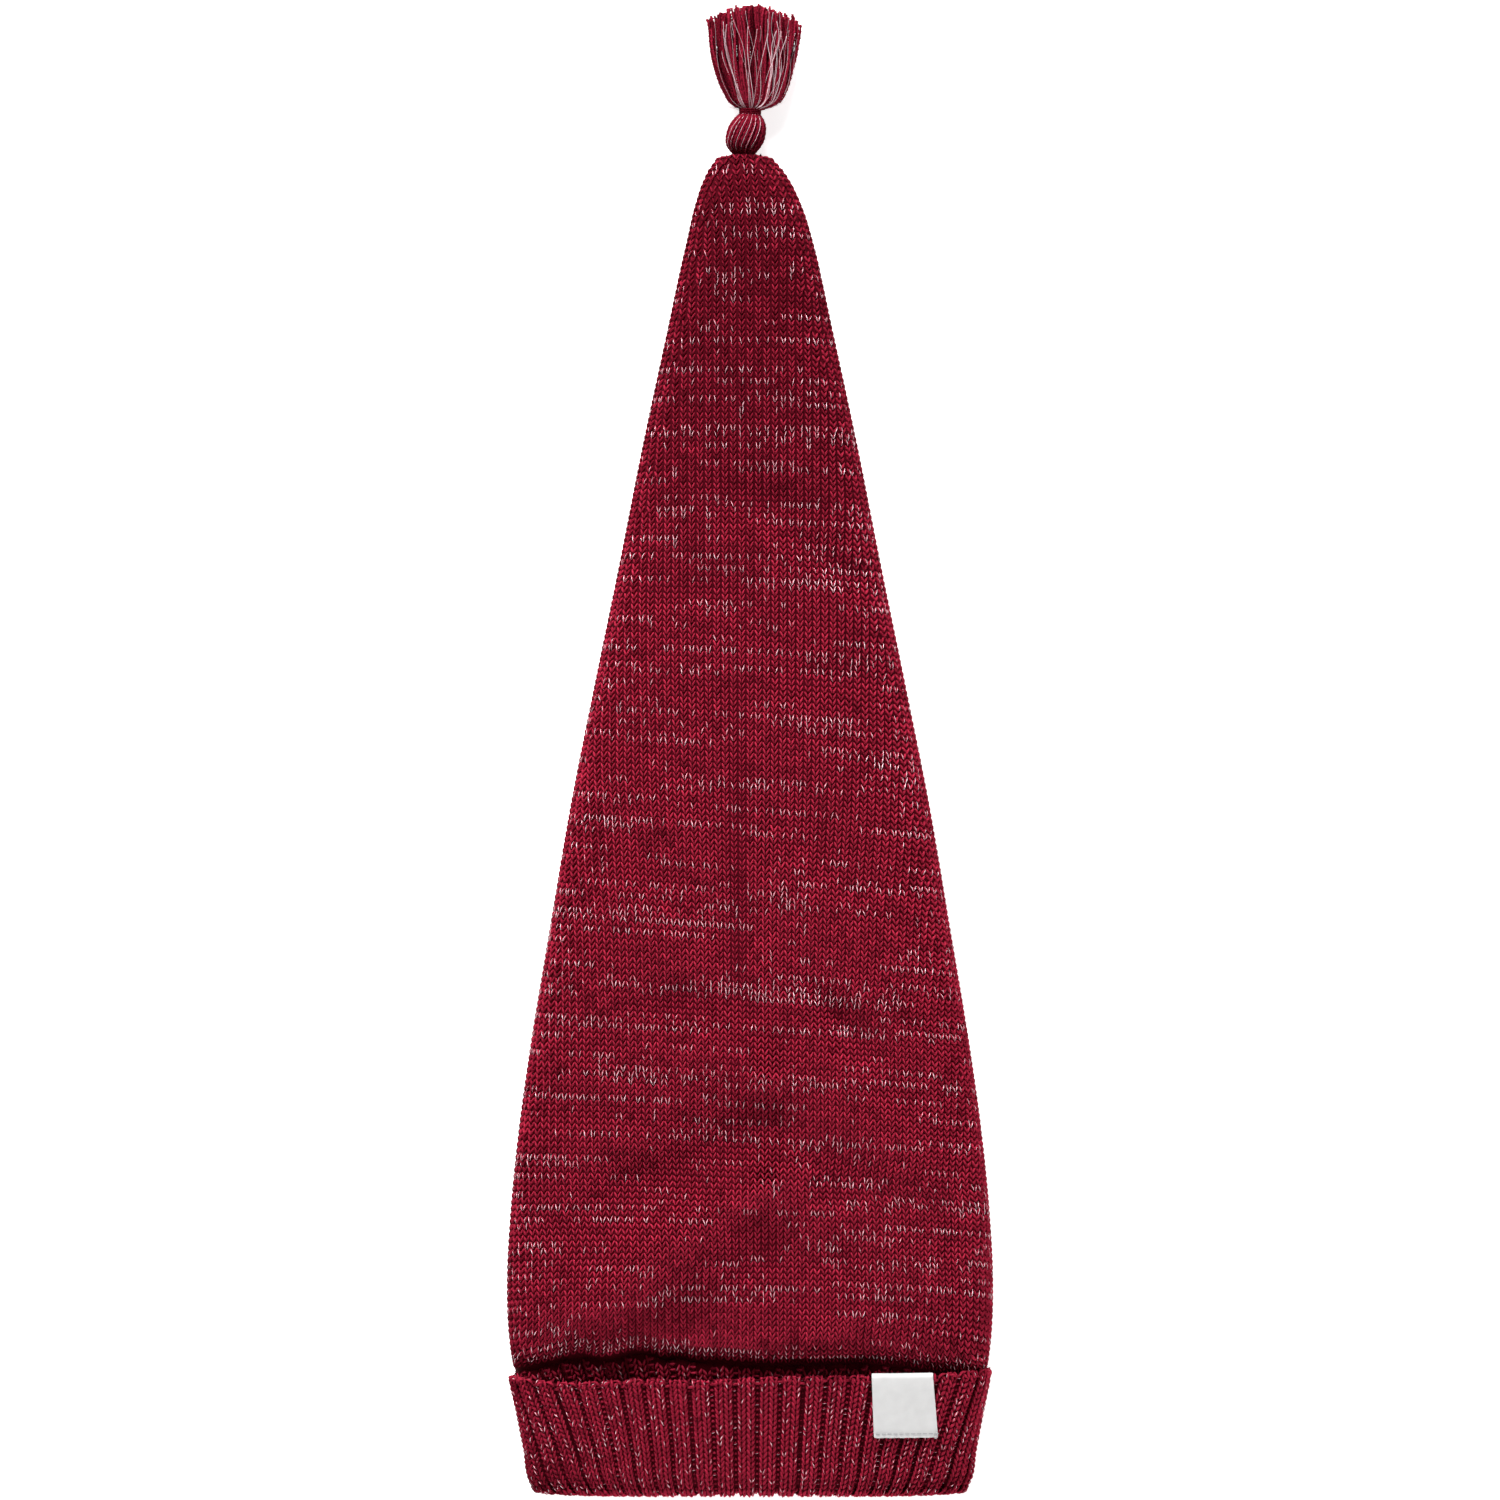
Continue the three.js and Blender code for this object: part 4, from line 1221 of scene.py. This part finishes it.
class HatStage(bpy.types.PropertyGroup):
    """Camera and light."""

    camera_height: bpy.props.FloatProperty(
        name="Camera height", description="Height of the camera over the hat", default=6.0, unit="LENGTH")
    field: bpy.props.FloatProperty(
        name="Field", description="Length of floor that the picture takes in, at the hat", default=0.6283,
        unit="LENGTH")
    key_power: bpy.props.FloatProperty(
        name="Key light", description="Power of the large soft light", default=550.0, unit="POWER")
    sky: bpy.props.FloatProperty(
        name="Sky", description="Strength of the even light from all round", default=0.17)


class HAT_OT_stage(bpy.types.Operator):
    """Sets the pale floor, the soft lights and the camera straight above the hat"""

    bl_idname = "hat.stage"
    bl_label = "Stage"

    def execute(self, context):
        stage = context.scene.hat_stage
        corners = [(x * FLOOR_HALF, y * FLOOR_HALF, 0) for x, y in ((-1, -1), (1, -1), (1, 1), (-1, 1))]
        floor = object_of(mesh_from("floor", corners, [(0, 1, 2, 3)], smooth=False), finish("pale_floor"))
        for name, place, size, share in LAMPS:
            lamp = bpy.data.lights.new(name, "AREA")
            lamp.size = size
            lamp.energy = stage.key_power * share
            holder = bpy.data.objects.new(name, lamp)
            holder.location = place
            aim = -np.array(place)
            holder.rotation_euler = (
                math.atan2(math.hypot(aim[0], aim[1]), -aim[2]), 0, math.atan2(aim[1], aim[0]) - math.pi / 2)
            context.scene.collection.objects.link(holder)
        world = bpy.data.worlds.new("soft_sky")
        world.use_nodes = True
        fill(world.node_tree.nodes["Background"], {"Color": (1, 1, 1, 1), "Strength": stage.sky})
        context.scene.world = world
        lens = bpy.data.cameras.new("photo_camera")
        lens.sensor_width = SENSOR
        lens.lens = SENSOR * (stage.camera_height - FIELD_HEIGHT) / stage.field
        camera = bpy.data.objects.new("photo_camera", lens)
        camera.location = (0, CAMERA_ALONG, stage.camera_height)
        context.scene.collection.objects.link(camera)
        context.scene.camera = camera
        context.scene.view_settings.view_transform = "Standard"
        return {"FINISHED"}


class HAT_OT_crown(bpy.types.Operator):
    """Knits the crown: its wall, its stitches on both sides and the silver thread in them"""

    bl_idname = "hat.crown"
    bl_label = "Crown"

    def execute(self, context):
        wall = self.wall()
        pieces = self.stitches(context.scene.hat_sizes)
        for piece in (wall, *pieces):
            seat(piece, "crown", replaces=True)
        along = np.linspace(JOIN, CROWN_END, 400)
        across, height = lying_section(read(BODY, along), KNIT_WALL / 2, 1.5 * np.pi, 361)
        return {"FINISHED"}

    def wall(self):
        """Closed wall of the crown: outer skin below the stitches and inner skin."""
        along = np.concatenate([
            np.linspace(JOIN - 1.2, 180, 36),
            np.linspace(186, 528, 46),
            np.linspace(534, CROWN_END, 12),
        ])
        columns = 84
        outer = crown_rings(along, STITCH_BED, 1.5 * np.pi, columns + 1)[:, :-1]
        inner = crown_rings(along, KNIT_WALL, 1.5 * np.pi, columns + 1)[:, :-1]
        rings = np.concatenate([outer, inner[::-1]])
        faces = loop_faces(len(rings), columns, True)
        size = bpy.context.scene.hat_sizes
        girth = 440
        run = np.linspace(0, girth, columns)[None] / (size.stitch_width / MM)
        uv = np.stack(np.broadcast_arrays(run, rings[:, :1, 1] / (size.stitch_height / MM)), axis=-1)
        points = to_frame(rings.reshape(-1, 3))
        tone = np.full(len(points), 0.5)
        mesh = mesh_from("crown_wall", points, faces[:, ::-1], uv=uv.reshape(-1, 2), tone=tone)
        return object_of(mesh, finish("red_ground"))

    def stitches(self, size):
        """Plain stitches of both sides, and the silver thread on some of them."""
        rng = np.random.default_rng(24)
        pitch, course = size.stitch_width / MM, size.stitch_height / MM
        thick = size.yarn_thickness / MM
        leg, back_leg = yarn_bar(KNIT_LEG, False), yarn_bar(BACK_LEG, False)
        knit = shape_object("knit_stitch_shape", [leg, mirrored(leg)])
        back_knit = shape_object("back_stitch_shape", [back_leg, mirrored(back_leg)])
        thread = yarn_bar(SILVER_LEG, False)
        right = shape_object("silver_right_shape", [thread], False)
        left = shape_object("silver_left_shape", [mirrored(thread)], False)
        pieces = []
        silver = []
        for back in (False, True):
            if back:
                side, wide, high = "back", pitch * BACK_WIDE, course * BACK_HIGH
                finer, glint = 0.0, BACK_THREAD
            else:
                side, wide, high = "front", pitch, course
                finer, glint = FINER_LOW, 1
            places = crown_places(crown_cloth(back), wide, high, rng, finer, with_edges=not back)
            across = places["place"][:, 0]
            for name, chosen in (("left", across < 0), ("right", across >= 0)):
                pieces.append(scatter(f"crown_{side}_{name}_stitches", pick(places, chosen),
                                      back_knit if back else knit, finish("red_stitches"),
                                      (wide, high, thick), seed=3 + len(pieces)))
            shown = silver_runs(places, size.silver_share, rng)
            # Which leg a stitch favours changes from course to course
            leaning = rng.random(len(shown)) < 0.35 + 0.3 * (places["course"] % 3 / 2)
            for shape, fitting in ((right, leaning), (left, ~leaning)):
                likely = np.where(fitting, FAVOURED_LEG, OTHER_LEG) + MORE_SILVER * shown
                chosen = rng.random(len(shown)) < likely * (shown > 0)
                kept = pick(places, chosen)
                count = len(kept["tone"])
                kept["tone"] = (0.3 + 0.7 * shown[chosen]) * rng.uniform(0.15, 1.0, count)
                kept["stretch"] = kept["stretch"] * np.stack(
                    [rng.uniform(0.8, 1.2, count), rng.uniform(0.75, 1.15, count), np.ones(count)], axis=1)
                silver.append(scatter(f"crown_{side}_silver_{len(silver) % 2}", kept, shape,
                                      finish("silver_thread"), (pitch, course, thick * glint),
                                      seed=31 + len(silver), unevenness=0.16))
        for shape in (knit, back_knit, right, left):
            bpy.data.objects.remove(shape)
        return pieces + silver


class HAT_OT_cuff(bpy.types.Operator):
    """Knits the ribbed cuff: its folded wall, raised stitches, sunk stitches and silver flecks"""

    bl_idname = "hat.cuff"
    bl_label = "Cuff"

    def execute(self, context):
        wall = self.wall()
        pieces = self.stitches(context.scene.hat_sizes)
        for piece in (wall, *pieces):
            seat(piece, "cuff", replaces=True)
        return {"FINISHED"}

    def wall(self):
        """Closed folded wall with ribs on its visible skin."""
        count = RIBS * 6
        rings, ribbed = cuff_skin(count)
        stitch = np.arange(count) / count * RIBS * RIB_STITCHES
        sunk = (RIB_BED + FURROW * furrow(stitch))[None, :, None]
        skin = rings - grid_normals(rings) * (sunk * ribbed[:, None, None])
        crease = crease_skin(count)
        crease = crease - grid_normals(crease) * sunk
        hidden = [cuff_ring(*row, count) for row in (
            ("body", 26.0, 0.0), ("body", 7.0, 0.0), ("turned", 6.5, RIB_WALL), ("turned", 22.0, RIB_WALL))]
        rings = np.concatenate([skin, crease, np.array(hidden)])
        faces = loop_faces(len(rings), count, True)
        uv = np.stack(np.broadcast_arrays(stitch[None], np.arange(len(rings))[:, None] * 0.8), axis=-1)
        points = to_frame(rings.reshape(-1, 3))
        tone = np.full(len(points), 0.5)
        mesh = mesh_from("cuff_wall", points, faces[:, ::-1], uv=uv.reshape(-1, 2), tone=tone)
        return object_of(mesh, finish("red_ground"))

    def cloth(self, skin):
        """A skin of the cuff on an even grid: rows by distance from its last ring, columns in stitches."""
        rings = skin(RIBS * RIB_STITCHES * 4)
        count = rings.shape[1]
        steps = np.linalg.norm(np.diff(rings, axis=0), axis=2).mean(1)
        climb = np.concatenate([[0], np.cumsum(steps)])
        rises = np.arange(0, climb[-1], 0.5)
        grid = np.empty((len(rises), count, 3))
        for column in range(count):
            for axis in range(3):
                grid[:, column, axis] = np.interp(rises, climb, rings[:, column, axis])
        grid = np.concatenate([grid[:, -4:], grid, grid[:, :8]], axis=1)
        return Cloth(grid[::-1], -1.0, 0.25, rises)

    def places(self, course, rng):
        """Places of the raised and of the sunk stitches."""
        knits, purls = Places(), Places()
        kinds = np.array(RIB_KINDS)
        columns = (np.arange(RIBS)[:, None] * RIB_STITCHES + kinds[:, 0]).ravel()
        share, lean, raised = np.tile(kinds[:, 1:], (RIBS, 1)).T
        uneven = rng.uniform(-0.3, 0.3, len(columns)) * course
        lean, raised = lean[:, None], raised > 0
        low = ~raised
        bed = (PURL_BED + FURROW * furrow(columns))[:, None]
        # Each skin, the painted light that makes its yarn paler (in the crease only), and the length out of
        # sight that carries no stitches
        skins = ((lambda count: cuff_skin(count)[0], 0, 14.0), (crease_skin, CREASE_PAINTED_LIGHT, 3.0))
        for skin, skin_painted_light, bare in skins:
            cloth = self.cloth(skin)
            for number, rise in enumerate(np.arange(1.2, cloth.rises[-1] - bare, course)):
                level = rise + uneven
                place, across, up, out = cloth.lie(level, columns, span=0.8, reach=-0.5)
                place[:, 2] = np.maximum(place[:, 2], -0.4 * out[:, 2])
                right, left = cloth.at(level, columns + 0.5), cloth.at(level, columns - 0.5)
                wide = np.linalg.norm(right - left, axis=1) * share
                # Painted light pales the cuff's yarn overall, in the crease and along its fold; painted shade
                # darkens its left edge and lower corners
                tone = RIB_TONE_AND_PAINTED_LIGHT - painted_rib_shade(place[:, 0], place[:, 1]) + skin_painted_light
                tone = tone + RIB_COURSE_TONE * rng.standard_normal()
                tone = tone + RIB_STITCH_TONE * rng.standard_normal(len(columns))
                stretch = np.stack([wide, np.ones(len(wide)), np.ones(len(wide))], axis=1)
                tilted = unit(out + across * lean)
                knit_place, purl_place = place - out * STITCH_BED, place - out * bed
                knits.add(knit_place[raised], tilted[raised], up[raised], stretch[raised], tone[raised],
                          number, columns[raised])
                # Painted shade darkens the sunk stitches in the furrows
                purls.add(purl_place[low], out[low], up[low], stretch[low], tone[low] - PURL_PAINTED_SHADE,
                          number, columns[low])
        return knits.joined(), purls.joined()

    def stitches(self, size):
        """Raised and sunk stitches of the ribs, and silver flecks on some of them."""
        rng = np.random.default_rng(51)
        course, thick = size.rib_course / MM, size.yarn_thickness / MM
        leg = yarn_bar(RIB_LEG, False)
        knit = shape_object("rib_stitch_shape", [leg, mirrored(leg)])
        bump = shape_object("purl_shape", [yarn_bar(PURL_BUMP, True)])
        thread = yarn_bar(SILVER_LEG, False)
        fleck = shape_object("rib_silver_shape", [thread], False)
        turned_fleck = shape_object("rib_silver_turned_shape", [mirrored(thread)], False)
        flat = [(run, out - 0.25, rise - 0.2, half, wide) for run, out, rise, half, wide in SILVER_LEG]
        flat_fleck = shape_object("purl_silver_shape", [yarn_bar(flat, True)], False)
        knits, purls = self.places(course, rng)
        yarn, silver = finish("red_stitches"), finish("silver_thread")
        pieces = []
        across = knits["place"][:, 0]
        for name, chosen in (("left", across < 0), ("right", across >= 0)):
            pieces.append(scatter(f"cuff_{name}_stitches", pick(knits, chosen), knit, yarn,
                                  (1.0, course, thick), seed=61 + len(pieces), unevenness=0.07))
        pieces.append(scatter("cuff_purl_stitches", purls, bump, yarn, (1.15, course, thick),
                              seed=71, unevenness=0.08))
        # Flecks: name, the stitches they lie on, shape, share of those stitches
        for name, source, shape, share in (
            ("cuff_silver_right", knits, fleck, 0.28),
            ("cuff_silver_left", knits, turned_fleck, 0.24),
            ("cuff_purl_silver", purls, flat_fleck, 0.22),
        ):
            kept = pick(source, rng.random(len(source["tone"])) < share)
            count = len(kept["tone"])
            kept["tone"] = rng.random(count) ** 1.3
            kept["stretch"] = kept["stretch"] * np.stack(
                [rng.uniform(0.7, 1.1, count), rng.uniform(0.5, 0.95, count), np.ones(count)], axis=1)
            pieces.append(scatter(name, kept, shape, silver, (1.0, course, thick),
                                  seed=81 + len(pieces), unevenness=0.2))
        for shape in (knit, bump, fleck, turned_fleck, flat_fleck):
            bpy.data.objects.remove(shape)
        return pieces


def upper_height(columns, across):
    """Height of a section's upper surface at places across it."""
    width, top, lift = columns.T
    lift = np.maximum(lift, 0)
    waist = lift + (top - lift) * WAIST
    share = np.minimum(1, np.abs(across) / (width / 2))
    return waist + (top - waist) * (1 - share**UPPER_ROUNDNESS) ** (1 / UPPER_ROUNDNESS)


class HAT_OT_label(bpy.types.Operator):
    """Folds the bare tape label over the cuff's free edge and sews it down"""

    bl_idname = "hat.label"
    bl_label = "Label"

    def face(self, share, along, drop):
        """Points of the tape at places across it (-1 to 1), drop below (or above) the cuff's crests."""
        down = (CUFF_HEIGHT - along) / LABEL_FRONT
        across = LABEL_ACROSS + LABEL_SLANT * down + share * (LABEL_WIDTH / 2 - LABEL_TAPER * (1 - down))
        columns = read(TURNED, np.full(np.shape(across), along))
        height = upper_height(columns, across) + drop
        middle = LABEL_ACROSS + 0.3 * (across - LABEL_ACROSS)
        y = along + bow(along, 2 * middle / columns[:, 0]) + free_edge_shift(middle, along)
        return np.stack([across, y, height], axis=-1)

    def rows(self, lift):
        """Rows of the tape from its sewn end, over the edge and down behind, at a lift off the cuff."""
        columns, front_rows, bend_rows, back_rows = 23, 26, 9, 8
        share = np.linspace(-1, 1, columns)
        top, bend = CUFF_HEIGHT - 1, RIB_WALL / 2
        low, end = CUFF_HEIGHT - LABEL_FRONT, CUFF_HEIGHT - LABEL_BACK
        rows = []
        for step in np.linspace(0, 1, front_rows):
            along = low + (top - low) * step
            row = self.face(share, along, lift)
            seam = math.exp(-(((along - low - SEAM_ALONG) / SEAM_HALF) ** 2))
            sunk = seam * (SEAM_DEPTH + SEAM_RIPPLE * np.cos(share * 36))
            row[:, 2] -= sunk - 0.05 * np.sin(share * 11 + step * 5)
            row[:, 1] += 0.12 * np.sin(share * 17) * (1 - step) ** 4
            rows.append(row)
        for angle in np.linspace(70, -70, bend_rows):
            row = self.face(share, top, -bend)
            row[:, 1] += (bend + lift) * math.cos(math.radians(angle))
            row[:, 2] += (bend + lift) * math.sin(math.radians(angle))
            rows.append(row)
        for step in np.linspace(0, 1, back_rows):
            rows.append(self.face(share, top + (end - top) * step, -RIB_WALL - lift))
        return np.array(rows)

    def execute(self, context):
        outer, inner = self.rows(GAP + LABEL_TAPE), self.rows(GAP)
        loops = np.concatenate([outer, inner[::-1]]).transpose(1, 0, 2)
        columns, count = loops.shape[:2]
        half = count // 2
        faces = []
        for column in range(columns - 1):
            for index in range(count):
                ahead = (index + 1) % count
                a, b = column * count + index, column * count + ahead
                faces.append((a, a + count, b + count, b))
        last = (columns - 1) * count
        for index in range(half - 1):
            across = count - 1 - index
            faces.append((index, index + 1, across - 1, across))
            faces.append((last + index, last + across, last + across - 1, last + index + 1))
        tape_ratio = 1.9
        run = np.minimum(np.arange(count), count - 1 - np.arange(count)) / half * tape_ratio
        chart = np.stack(np.broadcast_arrays(np.linspace(0, 1, columns)[:, None], run), axis=-1)
        mesh = mesh_from("label_tape", to_frame(loops.reshape(-1, 3)), faces, uv=chart.reshape(-1, 2))
        tape = object_of(mesh, finish("white_tape"))
        softener = tape.modifiers.new("Soft edges", "SUBSURF")
        softener.levels = softener.render_levels = 1
        thread = self.thread()
        seat(tape, "label", replaces=True)
        seat(thread, "label")
        return {"FINISHED"}

    def thread(self):
        """Sewing stitches near the tape's lower end, with a loose loop at the right."""
        low = CUFF_HEIGHT - LABEL_FRONT + SEAM_ALONG
        count, steps, length, rise, sunk = 11, 9, 0.125, 0.22, 0.18
        loop_across, loop_half, loop_length, loop_rise = 0.93, 0.05, 1.1, 0.2
        paths = []
        for start in np.linspace(-0.93, 0.9, count):
            share = start + np.linspace(0, length, steps)
            points = self.face(share, low, GAP + LABEL_TAPE)
            points[:, 2] += rise * np.sin(np.linspace(0, np.pi, steps)) - sunk
            paths.append(points)
        turn = np.linspace(0, 2 * np.pi, steps)
        loop = self.face(loop_across + loop_half * np.sin(turn), low, GAP + LABEL_TAPE)
        loop[:, 1] -= loop_length * (1 - np.cos(turn))
        loop[:, 2] += loop_rise
        paths.append(loop)
        paths = np.array(paths)
        outs = np.broadcast_to((0.0, 0.0, 1.0), paths.shape)
        tone, turns = np.full(len(paths), 0.5), np.full(len(paths), 1.0)
        return strands("label_sewing", paths, outs, radius=0.16, sides=6, turns=turns, tone=tone,
                       material=finish("grey_thread"), lobed=False)


def stem_across(run):
    """Where the tassel's axis runs: straight in the tip, then leaning to the neck."""
    foot = 3
    return TIP_ACROSS + STEM_LEAN * np.clip(np.asarray(run, float) - foot, 0, NECK_ALONG - foot)


def round_stem(run, size, angle):
    """Points round the tassel's axis, at distances along it and off it."""
    x = stem_across(run) + size * np.cos(angle)
    z = TASSEL_HEIGHT + size * np.sin(angle)
    return np.stack(np.broadcast_arrays(x, CROWN_END + GAP + run, z), axis=-1)


def skirt_paths(angle, out, length, rng, lift=0.0, steps=38, loose=0.5, drift=0.1):
    """Centre lines of the skirt's strands: out of the neck, quickly apart, then straight to the cut ends."""
    shorter, opening, clearance = 0.15, 16, 0.8
    run = np.linspace(0, 1, steps)[None, :]
    angle, out, length = (np.asarray(x, float)[:, None] for x in (angle, out, length))
    angle = angle + drift * rng.standard_normal(angle.shape) * run
    wide = read(SKIRT, run[0])[:, 0][None]
    high = SKIRT_HIGH * (wide / SKIRT[-1][1]) ** 0.6
    waves, phase = rng.uniform(0.6, 1.6, (2, *out.shape)), rng.uniform(0, 6, (2, *out.shape))
    wave, curl = loose * run * np.sin(2 * np.pi * run * waves + phase)
    along = run * SKIRT_LENGTH * length * (1 - shorter * out * np.cos(angle) ** 2)
    shift = (SKIRT_SHIFT - SKIRT_BACK * run**0.5) * (1 - np.exp(-opening * run))
    x = stem_across(NECK_ALONG) + out * np.cos(angle) * (wide + lift) + shift + wave
    z = out * np.sin(angle) * (high + lift) + 0.6 * curl
    z = np.maximum(z, clearance - TASSEL_HEIGHT)
    y = CROWN_END + GAP + NECK_ALONG + along
    return np.stack([x, np.broadcast_to(y, x.shape), TASSEL_HEIGHT + z], axis=-1)


class HAT_OT_tassel(bpy.types.Operator):
    """Makes the tassel: core, ball of yarn, skirt of strands, silver filaments and the tie at the neck"""

    bl_idname = "hat.tassel"
    bl_label = "Tassel"

    def execute(self, context):
        radius = context.scene.hat_sizes.strand_radius / MM
        rng = np.random.default_rng(7)
        yarn, silver = finish("red_strands"), finish("silver_thread")
        pieces = [self.core(), self.ball(yarn, radius, rng), self.skirt(yarn, radius, rng),
                  self.filaments(silver, rng)]
        for piece in pieces:
            seat(piece, "tassel", replaces=True)
        seat(self.tie(yarn), "tassel_tie", replaces=True)
        return {"FINISHED"}

    def core(self):
        """Stem and knot inside the tip, and the filling of ball and skirt."""
        knot_along, knot_radius, stem_radius, yarn_cover, point = -10, 4.2, 2.2, 1.1, 0.05
        knot = [(knot_along + knot_radius * math.sin(a), max(point, knot_radius * math.cos(a)))
                for a in np.linspace(-1.5, 1.0, 9)]
        stem = [(along, stem_radius) for along in (-6, -3, 0.2)]
        ball = [(along, radius - yarn_cover) for along, radius in BALL[:-1]]
        filling = [(24, 4.0), (27, point)]
        profile = np.array(knot + stem + ball + filling)
        sides = 24
        angle = np.arange(sides) * 2 * np.pi / sides
        rings = round_stem(profile[:, :1], profile[:, 1:], angle)
        faces = loop_faces(len(rings), sides, False)
        ends = [range(sides)[::-1], range((len(rings) - 1) * sides, len(rings) * sides)]
        triangles = [t for q in faces for t in ((q[0], q[1], q[2]), (q[0], q[2], q[3]))]
        for end in ends:
            triangles += [(end[0], end[i], end[i + 1]) for i in range(1, sides - 1)]
        points = to_frame(rings.reshape(-1, 3))
        uv = np.zeros((len(points), 2))
        mesh = mesh_from("tassel_core", points, triangles, uv=uv, tone=np.full(len(points), CORE_TONE))
        return object_of(mesh, finish("red_ground"))

    def ball(self, yarn, radius, rng):
        """Strands over the ball from the tip to the neck."""
        count, steps = BALL_STRANDS, 30
        run = np.linspace(-0.3, NECK_ALONG + 0.5, steps)
        size = read(BALL, run)[:, 0] - radius * 0.75
        start = np.arange(count) * 2 * np.pi / count + rng.uniform(-0.04, 0.04, count)
        angle = start[:, None] - BALL_TURN * run[None] / NECK_ALONG
        paths = round_stem(run, size, angle)
        outs = np.stack([np.cos(angle), 0 * angle, np.sin(angle)], axis=-1)
        tone = BALL_TONE + BALL_UNEVEN * rng.standard_normal(count)
        return strands("tassel_ball", paths, outs, radius=radius * 1.15, sides=8, turns=np.full(count, 4.5),
                       tone=tone, material=yarn)

    def skirt(self, yarn, radius, rng):
        """Plied strands of the skirt, ragged at their cut ends."""
        angle = np.concatenate([
            (np.arange(n) + rng.uniform(-0.5, 0.5, n)) * 2 * np.pi / n for n, _ in STRAND_RINGS])
        out = np.concatenate([np.full(n, o) + rng.uniform(-0.05, 0.0, n) for n, o in STRAND_RINGS])
        length = rng.uniform(0.955, 1.025, len(angle))
        paths = skirt_paths(angle, out, length, rng, loose=0.9)
        outs = np.broadcast_to((0.0, 0.0, 1.0), paths.shape)
        tone = SKIRT_TONE + SKIRT_UNEVEN * rng.standard_normal(len(angle))
        turns = rng.uniform(7, 9.5, len(angle))
        return strands("tassel_skirt", paths, outs, radius, sides=6, turns=turns, tone=tone, material=yarn)

    def filaments(self, silver, rng):
        """Silver filaments over the skirt and the ball, with a few that stray."""
        count = FILAMENTS
        angle = rng.uniform(0, 2 * np.pi, count)
        angle[:FRONT_FILAMENTS] = rng.uniform(0.1, np.pi - 0.1, FRONT_FILAMENTS)
        out, length = rng.uniform(0.85, 1.02, count), rng.uniform(0.72, 1.03, count)
        skirt = skirt_paths(angle, out, length, rng, lift=0.8, loose=1.3, drift=0.2)
        strays = np.array(STRAYS)
        loose = skirt_paths(strays[:, 0], strays[:, 1], strays[:, 2], rng, lift=0.9, loose=1.4)
        loose[..., 0] += strays[:, 3:] * np.sin(np.linspace(0, np.pi, loose.shape[1]))[None]
        steps = skirt.shape[1]
        run = np.linspace(1.0, NECK_ALONG - 1, steps)
        around = np.concatenate([BALL_FRONT, rng.uniform(3.4, 6.6, BALL_FILAMENTS - len(BALL_FRONT))])
        turn = around[:, None] - BALL_TURN * run[None] / NECK_ALONG
        ball = round_stem(run, read(BALL, run)[:, 0] + 0.12, turn)
        paths = np.concatenate([skirt, loose, ball])
        outs = np.broadcast_to((0.0, 0.0, 1.0), paths.shape)
        tone = rng.uniform(0.4, 1.0, len(paths))
        radius = rng.choice((0.045, 0.075, 0.13), len(paths), p=(0.5, 0.35, 0.15))
        radius[-len(ball):] = 0.065
        turns = np.full(len(paths), 2.0)
        return strands("tassel_silver", paths, outs, radius, sides=4, turns=turns, tone=tone, material=silver,
                       lobed=False)

    def tie(self, yarn):
        """Three turns of yarn round the neck."""
        steps = 90
        turn = np.linspace(0, 3.1 * 2 * np.pi, steps)
        size = NECK_RADIUS + GAP - 0.1
        across = stem_across(NECK_ALONG) + size * np.cos(turn)
        along = CROWN_END + GAP + NECK_ALONG + np.linspace(-1.15, 1.15, steps)
        path = np.stack([across, along, TASSEL_HEIGHT + size * np.sin(turn)], axis=-1)[None]
        outs = np.stack([np.cos(turn), 0 * turn, np.sin(turn)], axis=-1)[None]
        return strands("tassel_tie_yarn", path, outs, radius=0.55, sides=8, turns=np.array([26.0]),
                       tone=np.array([TIE_TONE]), material=yarn)


class HAT_PT_sidebar(bpy.types.Panel):
    """Sizes, colours and steps of the knitted hat"""

    bl_idname = "HAT_PT_sidebar"
    bl_label = "Knitted hat"
    bl_space_type = "VIEW_3D"
    bl_region_type = "UI"
    bl_category = "Knitted hat"

    def draw(self, context):
        for group in (context.scene.hat_sizes, context.scene.hat_colours, context.scene.hat_stage):
            box = self.layout.box()
            for name in group.bl_rna.properties.keys():
                if name not in ("rna_type", "name"):
                    box.prop(group, name)
        for operator in OPERATORS:
            self.layout.operator(operator.bl_idname)


GROUPS = (HatSizes, HatColours, HatStage)
OPERATORS = (HAT_OT_stage, HAT_OT_crown, HAT_OT_cuff, HAT_OT_label, HAT_OT_tassel)
CLASSES = (*GROUPS, *OPERATORS, HAT_PT_sidebar)


def register():
    """Adds the operators, the panel and the settings."""
    for cls in CLASSES:
        bpy.utils.register_class(cls)
    bpy.types.Scene.hat_sizes = bpy.props.PointerProperty(type=HatSizes)
    bpy.types.Scene.hat_colours = bpy.props.PointerProperty(type=HatColours)
    bpy.types.Scene.hat_stage = bpy.props.PointerProperty(type=HatStage)


def unregister():
    """Takes out what register added."""
    del bpy.types.Scene.hat_stage
    del bpy.types.Scene.hat_colours
    del bpy.types.Scene.hat_sizes
    for cls in reversed(CLASSES):
        bpy.utils.unregister_class(cls)


def main():
    """Builds the whole scene."""
    register()
    bpy.ops.hat.stage()
    bpy.ops.hat.crown()
    bpy.ops.hat.cuff()
    bpy.ops.hat.label()
    bpy.ops.hat.tassel()


if __name__ == "__main__":
    main()
